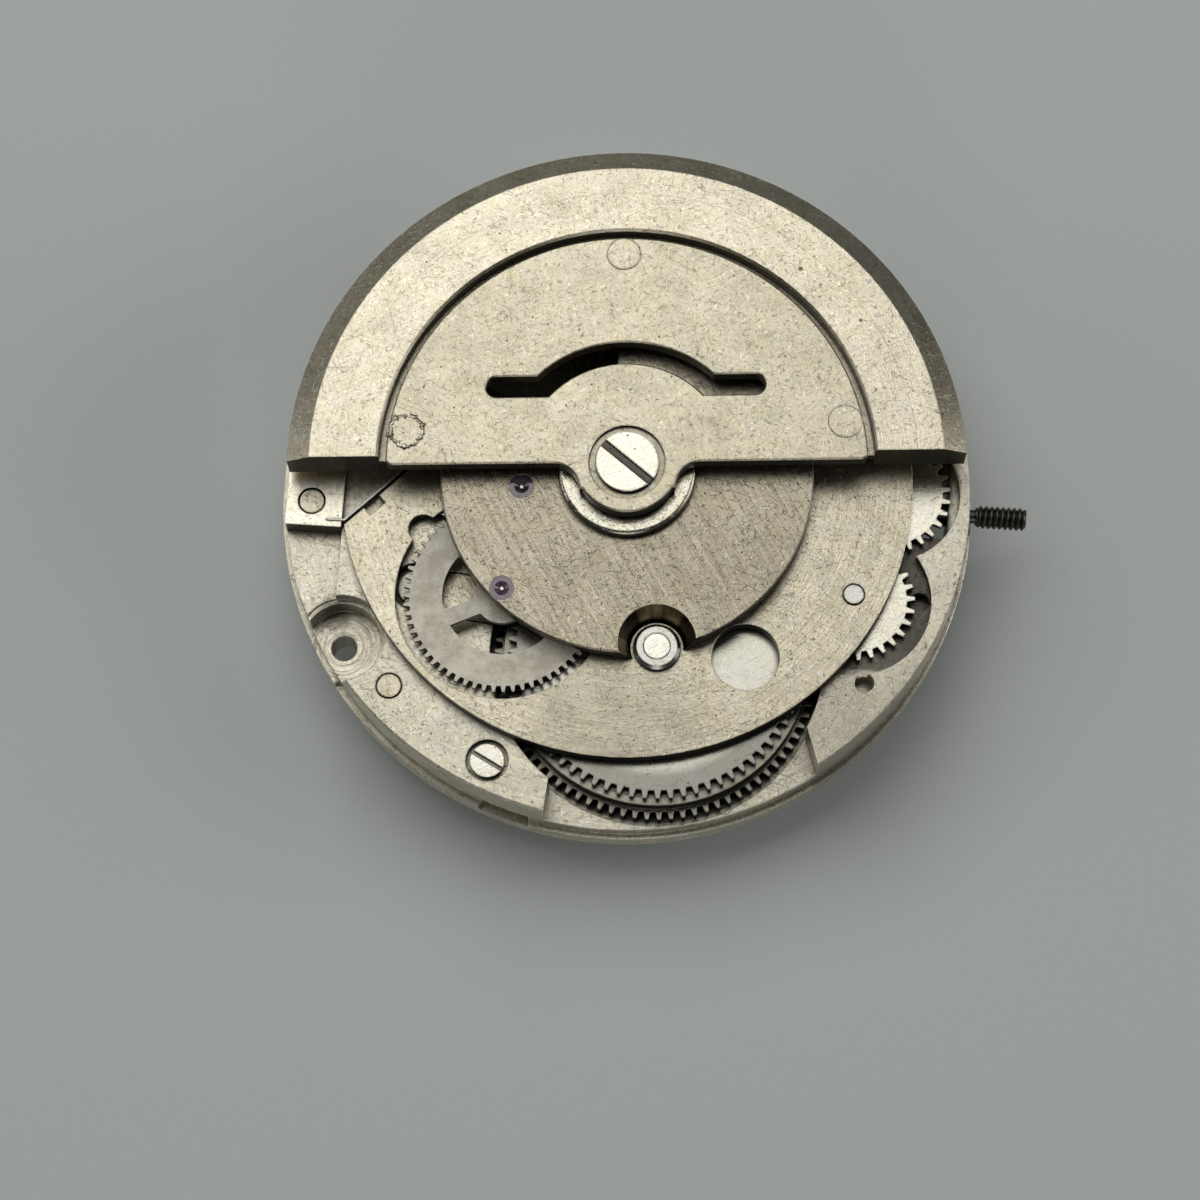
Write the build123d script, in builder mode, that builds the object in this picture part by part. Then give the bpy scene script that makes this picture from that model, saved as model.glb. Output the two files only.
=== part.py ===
from build123d import *
from math import atan2, cos, degrees, hypot, pi, radians, sin, sqrt
from collections import namedtuple
import os

# An automatic watch movement, lying dial side down. +Z points to the rotor, +X runs along the stem,
# and the origin is where the axis of the hands meets the plane that the dial rests on.

# Driving dimensions, in millimetres
case_r = 13.0
flange_h = 0.9
rim_step = 0.2
rim_top = 3.05
web_bottom = 0.75
floor_z = 1.45
bridge_t = 0.6
bridge_inset = 2.4
bridge_r = case_r - bridge_inset
wheel_room = 0.4
auto_t = 0.45
auto_r = 6.9
rotor_gap = 0.57
rotor_t = 0.6
weight_r = 12.5
weight_in_share = 0.7296
weight_in_r = weight_in_share * weight_r
weight_gap = 0.28
rotor_plate_r = weight_in_r - weight_gap
weight_under = 0.3
rest_turn = radians(4.35)
overrun = 0.5
running = 0.02
clear = 0.1
edge_break = 0.05
pivot_r = 0.07
jewel_r = 0.45
jewel_t = 0.3
lift = 0.05
wall_gap = 0.2
floor_gap = 0.15

bridge_z = rim_top
bridge_top = bridge_z + bridge_t
auto_z = bridge_top + wheel_room
auto_top = auto_z + auto_t
rotor_z = auto_top + rotor_gap
rotor_top = rotor_z + rotor_t
weight_z = bridge_top + weight_under

Gear = namedtuple("Gear", "teeth module")


def polar(origin, distance, bearing):
    angle = radians(bearing)
    return (origin[0] + distance * cos(angle), origin[1] + distance * sin(angle))


# A place given by its two shares of the size that it follows
def placed(share, size):
    return (share[0] * size, share[1] * size)


def bearing_of(start, end):
    return degrees(atan2(end[1] - start[1], end[0] - start[0]))


# The point at one distance from each of two others, on the right of the way between them
def meeting(first, first_distance, second, second_distance):
    base = hypot(second[0] - first[0], second[1] - first[1])
    along = (first_distance**2 - second_distance**2 + base**2) / (2 * base)
    aside = sqrt(first_distance**2 - along**2)
    foot = polar(first, along, bearing_of(first, second))
    return polar(foot, aside, bearing_of(first, second) + 90)


def pitch_r(gear):
    return gear.teeth * gear.module / 2


# teeth stand out by this share of the module, and their gaps are cut in by the other
tip_share = 0.85
root_share = 1.15
backlash = 0.02


def tip_r(gear):
    return pitch_r(gear) + tip_share * gear.module


def root_r(gear):
    return pitch_r(gear) - root_share * gear.module


def spacing(first, second):
    return pitch_r(first) + pitch_r(second) + backlash


# Turn of the second gear, in degrees, that sets its gap on the tooth of the first
def mesh_turn(first, first_turn, second, bearing):
    first_step = 360 / first.teeth
    second_step = 360 / second.teeth
    return bearing + 180 + second_step / 2 - (first_turn - bearing) / first_step * second_step


# Tooth modules of the wheel trains
barrel_module = 0.14
centre_module = 0.0944
third_module = 0.1
fourth_module = 0.08
winding_module = 0.15
reduction_module = 0.113
rotor_module = 0.12
motion_module = 0.1
hour_module = 0.096
pinion_module = 0.13

# Gears, as teeth and module
barrel_gear = Gear(84, barrel_module)
centre_pinion_gear = Gear(10, barrel_module)
centre_gear = Gear(80, centre_module)
third_pinion_gear = Gear(10, centre_module)
third_gear = Gear(75, third_module)
fourth_pinion_gear = Gear(10, third_module)
fourth_gear = Gear(84, fourth_module)
escape_pinion_gear = Gear(7, fourth_module)
ratchet_gear = Gear(71, winding_module)
transmission_gear = Gear(29, winding_module)
crown_gear = Gear(29, winding_module)
reduction_pinion_gear = Gear(9, winding_module)
reduction_gear = Gear(63, reduction_module)
reversing_pinion_gear = Gear(7, reduction_module)
reversing_gear = Gear(45, rotor_module)
rotor_gear = Gear(20, rotor_module)
cannon_gear = Gear(12, motion_module)
minute_gear = Gear(36, motion_module)
minute_pinion_gear = Gear(10, hour_module)
hour_gear = Gear(40, hour_module)
setting_gear = Gear(38, motion_module)
date_between_gear = Gear(40, hour_module)
date_pinion_gear = Gear(20, hour_module)
date_drive_gear = Gear(40, hour_module)
winding_gear = Gear(13, pinion_module)

# Axes of the wheels, each a bearing and a mesh distance from the one before
axis = (0.0, 0.0)
barrel_at = polar(axis, spacing(barrel_gear, centre_pinion_gear), -76.9)
transmission_at = polar(barrel_at, spacing(ratchet_gear, transmission_gear), 19.4)
crown_at = polar(transmission_at, spacing(transmission_gear, crown_gear), 74.5)
reversing_at = polar(axis, spacing(rotor_gear, reversing_gear), -168.4)
reduction_at = meeting(
    barrel_at,
    spacing(ratchet_gear, reduction_pinion_gear),
    reversing_at,
    spacing(reversing_pinion_gear, reduction_gear),
)
third_at = polar(axis, spacing(centre_gear, third_pinion_gear), 60.0)
fourth_at = polar(third_at, spacing(third_gear, fourth_pinion_gear), 48.5)
escape_at = polar(fourth_at, spacing(fourth_gear, escape_pinion_gear), 165.0)
minute_at = polar(axis, spacing(cannon_gear, minute_gear), -24.0)
setting_at = polar(minute_at, spacing(minute_gear, setting_gear), 10.0)
date_between_at = polar(axis, spacing(hour_gear, date_between_gear), 200.0)
date_drive_at = polar(date_between_at, spacing(date_pinion_gear, date_drive_gear), 200.0)
fork_reach = 2.3
fork_length = 3.1
fork_bearing = 190.5
fork_at = polar(escape_at, fork_reach, fork_bearing)
balance_at = polar(fork_at, fork_length, fork_bearing)

# Heights of the layers above the dial seat
centre_wheel_z = 1.22
wheel_t = 0.15
barrel_h = 1.1
barrel_z = floor_z + lift
barrel_tooth_h = 0.5
ratchet_t = 0.25
ratchet_gap = 0.08
ratchet_z = rim_top - ratchet_gap - ratchet_t
reduction_rise = 0.23
reduction_z = bridge_z + reduction_rise
reduction_t = 0.22
reversing_t = 0.26
reversing_gap = 0.07
reversing_z = bridge_top + reversing_gap
third_wheel_z = 2.5
fourth_wheel_z = 1.75
escape_wheel_z = 2.15
pinion_h = 0.4
stem_z = 1.65


def level(place, height, turn=0.0):
    angle = radians(turn)
    return Plane(origin=(place[0], place[1], height), x_dir=(cos(angle), sin(angle), 0), z_dir=(0, 0, 1))


def keep(piece, name):
    piece.part.label = name
    export_step(piece.part, f"parts/{name}.step")


# Half widths of a tooth at its root and its tip, as shares of the step from tooth to tooth
root_width_share = 0.27
tip_width_share = 0.13


def toothed_face(gear):
    step = 2 * pi / gear.teeth
    corners = (
        (-root_width_share, root_r(gear)),
        (-tip_width_share, tip_r(gear)),
        (tip_width_share, tip_r(gear)),
        (root_width_share, root_r(gear)),
    )
    points = []
    for tooth in range(gear.teeth):
        for share, radius in corners:
            angle = step * (tooth + share)
            points.append((radius * cos(angle), radius * sin(angle)))
    with BuildLine() as outline:
        Polyline(*points, close=True)
    make_face(outline.edges())


def spoked_face(gear, rim_w, hub_r, spokes, spoke_w):
    inside = root_r(gear) - rim_w
    toothed_face(gear)
    Circle(inside, mode=Mode.SUBTRACT)
    Circle(hub_r)
    with PolarLocations(inside / 2, spokes):
        Rectangle(inside + rim_w, spoke_w)


def slot_face(start, end, width, mode=Mode.ADD):
    middle = ((start[0] + end[0]) / 2, (start[1] + end[1]) / 2)
    length = hypot(end[0] - start[0], end[1] - start[1])
    with Locations(middle):
        SlotCenterToCenter(length, width, rotation=bearing_of(start, end), mode=mode)


# A round post or hole from one height to another, inside the part being built
def post(place, radius, bottom, top, mode=Mode.ADD):
    with BuildSketch(level(place, bottom)) as outline:
        Circle(radius)
    extrude(outline.sketch, amount=top - bottom, mode=mode)


def hole(place, radius, bottom, top):
    post(place, radius, bottom, top, Mode.SUBTRACT)


def taper(place, bottom_r, top_r, bottom, top):
    with Locations((*place, bottom)):
        Cone(bottom_r, top_r, top - bottom, align=(Align.CENTER, Align.CENTER, Align.MIN))


# A round rod or bore along the stem's line
def rod(radius, start, end, mode=Mode.ADD):
    with BuildSketch(Plane(origin=(start, 0, stem_z), x_dir=(0, 1, 0), z_dir=(1, 0, 0))) as outline:
        Circle(radius)
    extrude(outline.sketch, amount=end - start, mode=mode)


# Screws: head, slot and shank, the head's top at the given height
slot_share = 0.24
slot_depth_share = 0.45


def screw(place, top, head_r, head_h, shank_r, bottom, slot_turn):
    post(place, head_r, top - head_h, top)
    post(place, shank_r, bottom, top - head_h)
    with BuildSketch(level(place, top, slot_turn)) as slot:
        Rectangle(2 * head_r + overrun, slot_share * head_r)
    extrude(slot.sketch, amount=-slot_depth_share * head_h, mode=Mode.SUBTRACT)


os.makedirs("parts", exist_ok=True)

# Sizes of the pieces that pass through the plates
arbor_r = 0.13
jewel_hole_r = pivot_r + running
centre_tube_r = 0.28
centre_bore_r = 0.13
seconds_r = 0.085
seconds_seat_r = 0.1
cannon_r = 0.5
minute_seat_r = 0.45
hour_r = 0.92
hour_seat_r = 0.75
seat_shoulder_z = -0.1
hour_tip_z = -0.95
cannon_tip_z = -1.4
seconds_tip_z = -1.9
seconds_neck_z = -0.9
barrel_pivot_r = 0.48
drum_r = 5.62
centre_bush_r = 0.62
barrel_low_r = 0.4
bush_r = 0.86
bush_rise = 0.3
screw_r = 0.3
screw_head_r = 0.62
screw_head_h = 0.3
steady_r = 0.43
steady_ring = 0.07

# Places of fastenings, found from the photograph
bridge_screw_shares = ((0.8396, 0.3962), (-0.0047, 0.934), (-0.6132, 0.0896))
bridge_screws_at = [placed(share, bridge_r) for share in bridge_screw_shares]
auto_screw_shares = ((0.7971, 0.3768), (0.2464, 0.8333))
auto_screws_at = [placed(share, auto_r) for share in auto_screw_shares]
foot_screw_inset = 1.28
foot_screw_ring = case_r - foot_screw_inset
foot_bore_inset = 0.9
foot_bore_ring = case_r - foot_bore_inset
foot_screws_at = (polar(axis, foot_screw_ring, -112.1), polar(axis, foot_screw_ring, 67.9))
foot_bores_at = (polar(axis, foot_bore_ring, -119.5), polar(axis, foot_bore_ring, 60.5))
foot_bore_r = 0.4
foot_bore_h = 1.3
foot_head_gap = 0.17
steady_inset = 1.34
steady_at = polar(axis, case_r - steady_inset, -134.7)
seat_inset = 0.95
seat_ring = case_r - seat_inset
case_seats_at = (polar(axis, seat_ring, -147.0), polar(axis, seat_ring, 33.0))
case_seat_r = 1.45
case_seat_z = 1.5
case_hole_r = 0.485
case_step_r = 1.62
case_step_z = 2.5

# Dial side
channel_wall = 1.65
channel_r = case_r - channel_wall
recess_inset = 2.75
recess_r = channel_r - recess_inset
channel_h = 0.42
keyless_h = 0.7
setting_h = 0.95
calendar_t = 0.08
calendar_lap = 0.7
calendar_r = recess_r + calendar_lap
calendar_post_shares = ((0.3023, 0.6977), (-0.5349, 0.5814), (0.0698, -0.7674))
calendar_posts_at = [placed(share, recess_r) for share in calendar_post_shares]
calendar_post_r = 0.6
calendar_screw_r = 0.25
minute_post_r = 0.2
stem_box_in = 7.2
stem_box_out = 12.0
stem_box_half = 1.25
stem_pilot_l = 1.6
stem_pilot_r = 0.22
stem_box_bottom = 0.35
stem_hole_r = 0.47
setting_pivot_x = 9.9
setting_pivot_y = -2.3
setting_pivot_at = (setting_pivot_x, setting_pivot_y)
yoke_pivot_x = 7.3
yoke_pivot_y = 2.7
yoke_pivot_at = (yoke_pivot_x, yoke_pivot_y)
keyless_post_r = 0.22
lever_room_l = 2.79
lever_room_w = 3.0
lever_room_at = polar(setting_pivot_at, lever_room_l, 69.0)
yoke_room_l = 3.41
yoke_room_w = 2.2
yoke_room_at = polar(yoke_pivot_at, yoke_room_l, -58.2)
jumper_share = (0.3953, -0.7209)
jumper_at = placed(jumper_share, recess_r)

# Parts of the left edge
block_inset = 0.45
block_w = 2.1
block_out = block_inset - case_r
block_in = block_out + block_w
block_bottom = 2.6
block_top = 3.45
block_front = -0.1885 * case_r
block_back = 0.1077 * case_r
block_pin_share = (-0.8938, -0.1154)
block_pin_at = placed(block_pin_share, case_r)
block_pin_r = 0.45
edge_floor_front = -0.4769 * case_r

balance_r = 4.2
balance_room = 0.25
balance_z = 2.75
balance_t = 0.25
cock_foot_share = (-0.7615, 0.4538)
cock_foot_at = placed(cock_foot_share, case_r)
cock_w = 2.3
cock_z = 3.33
cock_t = 0.52
setting_r = 0.75
setting_low = cock_z + clear
cock_swell = 0.25
cock_foot_l = 0.5
fork_to_foot = 2.5
pallet_foot_at = polar(fork_at, fork_to_foot, fork_bearing - 90)

# Main plate: pockets milled from above, each a place, a radius and a floor
crown_room = 0.35
transmission_room = 0.6
escape_room_r = 2.2
roller_room_r = 1.3
tongue_room_r = 1.15
face_room_r = 1.35
face_room_h = 0.4
winding_floor_z = ratchet_z - floor_gap
centre_floor_z = centre_wheel_z - lift
pockets = (
    (axis, tip_r(centre_gear) + wall_gap, centre_floor_z),
    (third_at, tip_r(third_pinion_gear) + wall_gap, centre_floor_z),
    (barrel_at, tip_r(barrel_gear) + floor_gap, floor_z),
    (third_at, tip_r(third_gear) + wall_gap, third_wheel_z - floor_gap),
    (fourth_at, tip_r(fourth_gear) + wall_gap, fourth_wheel_z - floor_gap),
    (escape_at, escape_room_r, floor_z),
    (balance_at, balance_r + balance_room, balance_z - floor_gap),
    (balance_at, roller_room_r, floor_z),
    (reversing_at, tongue_room_r, bridge_z - 3 * floor_gap),
    (crown_at, tip_r(crown_gear) + crown_room, winding_floor_z),
    (transmission_at, tip_r(transmission_gear) + transmission_room, winding_floor_z),
    (crown_at, face_room_r, ratchet_z - face_room_h),
)
fork_slot_w = 3.2
fork_slot_z = 2.1
pallet_slot_w = 1.5
reduction_pocket_r = 3.0
reduction_cock_z = 2.2
reduction_cock_t = 0.4
reduction_to_foot = 3.3
reduction_foot_at = polar(reduction_at, reduction_to_foot, 175.0)
reduction_cock_w = 1.7
reduction_hole_r = 0.2
barrel_mouth_shares = (
    (-0.1538, -0.7385),
    (-0.1808, -1.0462),
    (0.6846, -1.0462),
    (0.5962, -0.8231),
    (0.5462, -0.6769),
)
mouth_z = 1.55
notch_at = (polar(axis, case_r + clear, -139.0), polar(axis, case_r + clear, -107.0))
notch_r = 1.0
notch_z = 0.55
edge_hole_shares = ((0.8538, -0.2885), (0.7038, -0.5462))
edge_hole_r = 0.36
edge_hole_z = 2.0

with BuildPart() as main_plate:
    with BuildSketch(Plane.XY):
        Circle(case_r)
    extrude(amount=flange_h)
    with BuildSketch(level(axis, flange_h)):
        Circle(case_r - rim_step)
    extrude(amount=rim_top - flange_h)
    chamfer(main_plate.faces().sort_by(Axis.Z)[-1].edges(), edge_break)
    for place, radius, pocket_floor in pockets:
        hole(place, radius, pocket_floor, rim_top)
    with BuildSketch(level(axis, fork_slot_z)):
        slot_face(escape_at, balance_at, fork_slot_w)
        slot_face(fork_at, pallet_foot_at, pallet_slot_w)
    extrude(amount=rim_top - fork_slot_z, mode=Mode.SUBTRACT)
    hole(reduction_at, reduction_pocket_r, reduction_cock_z + reduction_cock_t, rim_top)
    with BuildSketch(level(axis, reduction_cock_z)):
        slot_face(reduction_at, reduction_foot_at, reduction_cock_w + clear)
    extrude(amount=rim_top - reduction_cock_z, mode=Mode.SUBTRACT)
    with BuildSketch(level(axis, mouth_z)):
        with BuildLine():
            Polyline(*[placed(share, case_r) for share in barrel_mouth_shares], close=True)
        make_face()
    extrude(amount=rim_top - mouth_z, mode=Mode.SUBTRACT)
    # lowered edge at the left, where the clamp block stands
    with BuildSketch(level(axis, block_bottom)):
        with Locations(((block_in - case_r) / 2, (edge_floor_front + block_back) / 2)):
            Rectangle(case_r + block_in, block_back - edge_floor_front)
    extrude(amount=rim_top - block_bottom, mode=Mode.SUBTRACT)
    for place in case_seats_at:
        hole(place, case_seat_r, case_seat_z, rim_top)
        hole(place, case_step_r, case_step_z, rim_top)
        hole(place, case_hole_r, 0, rim_top)
    for share in edge_hole_shares:
        hole(placed(share, case_r), edge_hole_r, edge_hole_z, rim_top)
    for place in notch_at:
        hole(place, notch_r, notch_z, flange_h + overrun)
    # dial side
    hole(axis, recess_r, 0, web_bottom)
    hole(axis, channel_r, 0, channel_h)
    for place in calendar_posts_at:
        post(place, calendar_post_r, calendar_t, web_bottom)
        hole(place, calendar_screw_r, 0, web_bottom)
    hole(setting_at, tip_r(setting_gear) + wall_gap, 0, setting_h)
    hole(date_drive_at, tip_r(date_drive_gear) + wall_gap, 0, web_bottom)
    with BuildSketch(level(axis, 0)):
        slot_face(setting_pivot_at, lever_room_at, lever_room_w)
        slot_face(yoke_pivot_at, yoke_room_at, yoke_room_w)
    extrude(amount=keyless_h, mode=Mode.SUBTRACT)
    with BuildSketch(level(axis, stem_box_bottom)):
        with Locations(((stem_box_in + stem_box_out) / 2, 0)):
            Rectangle(stem_box_out - stem_box_in, 2 * stem_box_half)
    extrude(amount=winding_floor_z - stem_box_bottom, mode=Mode.SUBTRACT)
    rod(stem_hole_r, stem_box_in, case_r, Mode.SUBTRACT)
    rod(stem_pilot_r, stem_box_in - stem_pilot_l, stem_box_in, Mode.SUBTRACT)
    # posts that the dial-side wheels and levers turn on
    for place, radius, bottom in (
        (minute_at, minute_post_r, clear),
        (setting_at, minute_post_r, channel_h),
        (date_between_at, minute_post_r, clear),
        (date_drive_at, minute_post_r, clear),
        (jumper_at, minute_post_r, clear),
        (setting_pivot_at, keyless_post_r, channel_h),
        (yoke_pivot_at, keyless_post_r, channel_h),
    ):
        post(place, radius, bottom, setting_h if place == setting_at else web_bottom)
    # bearings, feet and screws
    hole(axis, centre_bush_r, web_bottom, floor_z)
    for place in (third_at, fourth_at, escape_at, fork_at, balance_at):
        hole(place, jewel_r, web_bottom, web_bottom + jewel_t)
        hole(place, 2 * arbor_r, web_bottom, fork_slot_z)
    hole(barrel_at, barrel_low_r + running, web_bottom, floor_z)
    for place in foot_bores_at:
        hole(place, foot_bore_r, 0, foot_bore_h)
    for place in foot_screws_at:
        hole(place, screw_head_r + foot_head_gap, rim_top - screw_head_h, rim_top)
        hole(place, screw_r + running, foot_bore_h, rim_top)
    for place in bridge_screws_at:
        hole(place, screw_r + running, floor_z, rim_top)
    hole(steady_at, steady_r, floor_z, rim_top)
    hole(steady_at, steady_r + steady_ring, rim_top - 2 * steady_ring, rim_top)
    hole(block_pin_at, block_pin_r, floor_z, block_bottom)
    hole(cock_foot_at, screw_r + running, floor_z, rim_top)
    hole(pallet_foot_at, screw_r + running, floor_z, fork_slot_z)
    hole(reduction_foot_at, screw_r + running, floor_z, reduction_cock_z)
keep(main_plate, "main_plate")

# Click and its blade spring, at the left edge
click_distance = 4.73
click_pivot_at = polar(reduction_at, click_distance, 131.0)
click_tip_at = polar(reduction_at, tip_r(reduction_gear) + 2 * running, 128.0)
click_tail_l = 1.2
click_tail_r = 0.12
click_tail_at = polar(click_pivot_at, click_tail_l, 147.2)
click_r = 0.36
click_z = bridge_z + running
click_t = 0.4
click_post_r = 0.18
click_room = 0.15

# Lower bridge: carries the upper pivots of the train, the barrel bush and the winding studs
kidney_r = 3.95
kidney_end_distance = 3.9
kidney_end_at = polar(reduction_at, kidney_end_distance, 143.0)
kidney_end_r = 0.55
tongue_r = 0.95
tongue_z = bridge_z - jewel_t
tongue_rise = 0.12
tongue_top = bridge_z + tongue_rise
view_hole_share = (0.4481, -0.6179)
view_hole_at = placed(view_hole_share, bridge_r)
view_hole_r = 1.25
balance_window_r = 4.62
bridge_edge_shares = (
    (-1.2736, -0.2453),
    (-0.9764, -0.2311),
    (-0.75, 0.0),
    (-0.7264, 0.4245),
    (-0.7264, 1.2736),
    (-1.2736, 1.2736),
)
edge_notch_share = (-0.8774, -0.1462)
edge_notch_w = 0.75
edge_notch_h = 0.5
stud_r = 0.36
stud_ring = 0.06
stud_depth_share = 0.6
crown_stud_top = bridge_z + stud_depth_share * bridge_t
bridge_jewels_at = (axis, third_at, fourth_at, escape_at)

with BuildPart() as lower_bridge:
    with BuildSketch(level(axis, bridge_z)):
        Circle(bridge_r)
        with Locations(balance_at):
            Circle(balance_window_r, mode=Mode.SUBTRACT)
        slot_face(balance_at, cock_foot_at, cock_w + 4 * clear, Mode.SUBTRACT)
        with Locations(reduction_at):
            Circle(kidney_r, mode=Mode.SUBTRACT)
        with Locations(kidney_end_at):
            Circle(kidney_end_r, mode=Mode.SUBTRACT)
        with Locations(view_hole_at):
            Circle(view_hole_r, mode=Mode.SUBTRACT)
        with BuildLine():
            Polyline(*[placed(share, bridge_r) for share in bridge_edge_shares], close=True)
        make_face(mode=Mode.SUBTRACT)
        with Locations(placed(edge_notch_share, bridge_r)):
            Rectangle(edge_notch_w, edge_notch_h, rotation=45, mode=Mode.SUBTRACT)
        with Locations(barrel_at):
            Circle(bush_r, mode=Mode.SUBTRACT)
        with Locations(*bridge_jewels_at):
            Circle(jewel_r, mode=Mode.SUBTRACT)
        with Locations(transmission_at):
            Circle(stud_r, mode=Mode.SUBTRACT)
        with Locations(*bridge_screws_at, *auto_screws_at):
            Circle(screw_r + running, mode=Mode.SUBTRACT)
    extrude(amount=bridge_t)
    post(reversing_at, tongue_r, tongue_z, tongue_top)
    hole(reversing_at, jewel_r, tongue_z, tongue_z + jewel_t)
    hole(reversing_at, tip_r(reversing_pinion_gear) + clear, tongue_z + jewel_t, bridge_top)
    for place in bridge_screws_at:
        hole(place, screw_head_r + clear, bridge_top - screw_head_h, bridge_top)
    hole(transmission_at, stud_r + stud_ring, bridge_top - 2 * stud_ring, bridge_top)
    hole(crown_at, stud_r, bridge_z, crown_stud_top)
    # pocket below for the click, with the post that it turns on
    with BuildSketch(level(axis, bridge_z)):
        slot_face(click_pivot_at, click_tip_at, 2 * (click_r + click_room))
        slot_face(click_pivot_at, click_tail_at, 2 * (click_r + click_room))
    extrude(amount=click_t + click_room / 3, mode=Mode.SUBTRACT)
    post(click_pivot_at, click_post_r, bridge_z, bridge_top)
keep(lower_bridge, "lower_bridge")

# Automatic bridge: the round plate below the rotor, open over the balance
bearing_r = 2.55
bearing_spigot_r = 2.05
auto_window_shares = (
    (-0.087, 0.4348),
    (-0.087, 1.087),
    (-1.087, 1.087),
    (-1.087, 0.1449),
    (-0.4493, 0.1449),
)
cone_top_r = 1.43
auto_feet_r = 0.95
cone_foot_r = 1.6

with BuildPart() as auto_bridge:
    post(axis, auto_r, auto_z, auto_top)
    chamfer(auto_bridge.faces().sort_by(Axis.Z)[-1].edges(), edge_break)
    with BuildSketch(level(axis, auto_z)):
        with BuildLine():
            Polyline(*[placed(share, auto_r) for share in auto_window_shares], close=True)
        make_face()
        Circle(bearing_spigot_r)
        with Locations(reversing_at, reduction_at):
            Circle(jewel_r)
    extrude(amount=auto_t, mode=Mode.SUBTRACT)
    with BuildSketch(level(axis, bridge_top)):
        with Locations(*auto_screws_at):
            Circle(auto_feet_r)
        with Locations(barrel_at):
            Circle(cone_foot_r)
        Circle(auto_r, mode=Mode.INTERSECT)
    extrude(amount=wheel_room)
    for place in auto_screws_at:
        hole(place, screw_r + running, bridge_top, auto_top)
        hole(place, screw_head_r + clear, auto_top - screw_head_h, auto_top)
    # countersunk opening that shows the barrel bush
    with BuildSketch(level(barrel_at, bridge_top)):
        Circle(bush_r + clear)
    with BuildSketch(level(barrel_at, auto_top)):
        Circle(cone_top_r)
    loft(mode=Mode.SUBTRACT)
keep(auto_bridge, "auto_bridge")

with BuildPart() as balance_cock:
    with BuildSketch(level(axis, cock_z)):
        slot_face(balance_at, cock_foot_at, cock_w)
        with Locations(balance_at):
            Circle(cock_w / 2 + cock_swell)
            Circle(setting_r, mode=Mode.SUBTRACT)
    extrude(amount=cock_t)
    with BuildSketch(level(axis, rim_top)):
        slot_face(cock_foot_at, polar(cock_foot_at, cock_foot_l, 190.0), cock_w)
        Circle(case_r - rim_step, mode=Mode.INTERSECT)
        with Locations(balance_at):
            Circle(balance_r + balance_room, mode=Mode.SUBTRACT)
    extrude(amount=cock_z - rim_top)
    hole(cock_foot_at, screw_r + running, rim_top, cock_z + cock_t)
    hole(cock_foot_at, screw_head_r + clear, cock_z + cock_t - screw_head_h, cock_z + cock_t)
keep(balance_cock, "balance_cock")

pallet_bridge_z = 2.45
pallet_bridge_t = 0.15
pallet_bridge_w = 1.1
pallet_jewel_z = escape_wheel_z + wheel_t + running
pallet_jewel_r = 0.35
with BuildPart() as pallet_bridge:
    with BuildSketch(level(axis, pallet_bridge_z)):
        slot_face(fork_at, pallet_foot_at, pallet_bridge_w)
        with Locations(fork_at):
            Circle(pallet_jewel_r, mode=Mode.SUBTRACT)
    extrude(amount=pallet_bridge_t)
    post(pallet_foot_at, pallet_bridge_w / 2, fork_slot_z, pallet_bridge_z)
    hole(pallet_foot_at, screw_r / 2 + running, fork_slot_z, pallet_bridge_z + pallet_bridge_t)
keep(pallet_bridge, "pallet_bridge")

with BuildPart() as reduction_cock:
    with BuildSketch(level(axis, reduction_cock_z)):
        slot_face(reduction_at, reduction_foot_at, reduction_cock_w)
        with Locations(barrel_at):
            Circle(drum_r + clear, mode=Mode.SUBTRACT)
        with Locations(reduction_at):
            Circle(reduction_hole_r, mode=Mode.SUBTRACT)
        with Locations(reduction_foot_at):
            Circle(screw_r + running, mode=Mode.SUBTRACT)
    extrude(amount=reduction_cock_t)
keep(reduction_cock, "reduction_cock")

# Jewels: rings with an oil sink, the sink on the side away from the wheel
sink_share = 0.6


def jewel(place, radius, bottom, bore, sink_up):
    top = bottom + jewel_t
    post(place, radius, bottom, top)
    hole(place, bore, bottom, top)
    sink_h = jewel_t / 3
    wide = top if sink_up else bottom
    narrow = wide - sink_h if sink_up else wide + sink_h
    with BuildSketch(level(place, wide)) as wide_ring:
        Circle(sink_share * radius)
    with BuildSketch(level(place, narrow)) as narrow_ring:
        Circle(bore)
    loft([wide_ring.sketch, narrow_ring.sketch], mode=Mode.SUBTRACT)


auto_jewel_z = auto_top - jewel_t - running
bridge_jewel_z = bridge_top - jewel_t - clear
pivot_reach = 0.25
bush_edge = 0.12
with BuildPart() as upper_jewels:
    for place in (reversing_at, reduction_at):
        jewel(place, jewel_r, auto_jewel_z, jewel_hole_r, True)
    for place in bridge_jewels_at:
        jewel(place, jewel_r, bridge_jewel_z, jewel_hole_r, True)
    jewel(fork_at, pallet_jewel_r, pallet_jewel_z, jewel_hole_r, True)
    jewel(reversing_at, jewel_r, tongue_z, jewel_hole_r, False)
    jewel(balance_at, jewel_r, setting_low, jewel_hole_r, True)
keep(upper_jewels, "upper_jewels")

with BuildPart() as plate_jewels:
    for place in (third_at, fourth_at, escape_at, fork_at, balance_at):
        jewel(place, jewel_r, web_bottom, jewel_hole_r, False)
keep(plate_jewels, "plate_jewels")

bush_top = bridge_top + bush_rise
with BuildPart() as bearing_bushes:
    post(barrel_at, bush_r, bridge_z, bush_top)
    hole(barrel_at, barrel_pivot_r + running, bridge_z, bush_top)
    chamfer(bearing_bushes.faces().sort_by(Axis.Z)[-1].outer_wire().edges(), bush_edge)
    post(axis, centre_bush_r, web_bottom, centre_floor_z)
    hole(axis, centre_tube_r + running, web_bottom, centre_wheel_z)
    post(balance_at, setting_r, setting_low, cock_z + cock_t)
    hole(balance_at, jewel_r, setting_low, cock_z + cock_t)
keep(bearing_bushes, "bearing_bushes")

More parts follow.
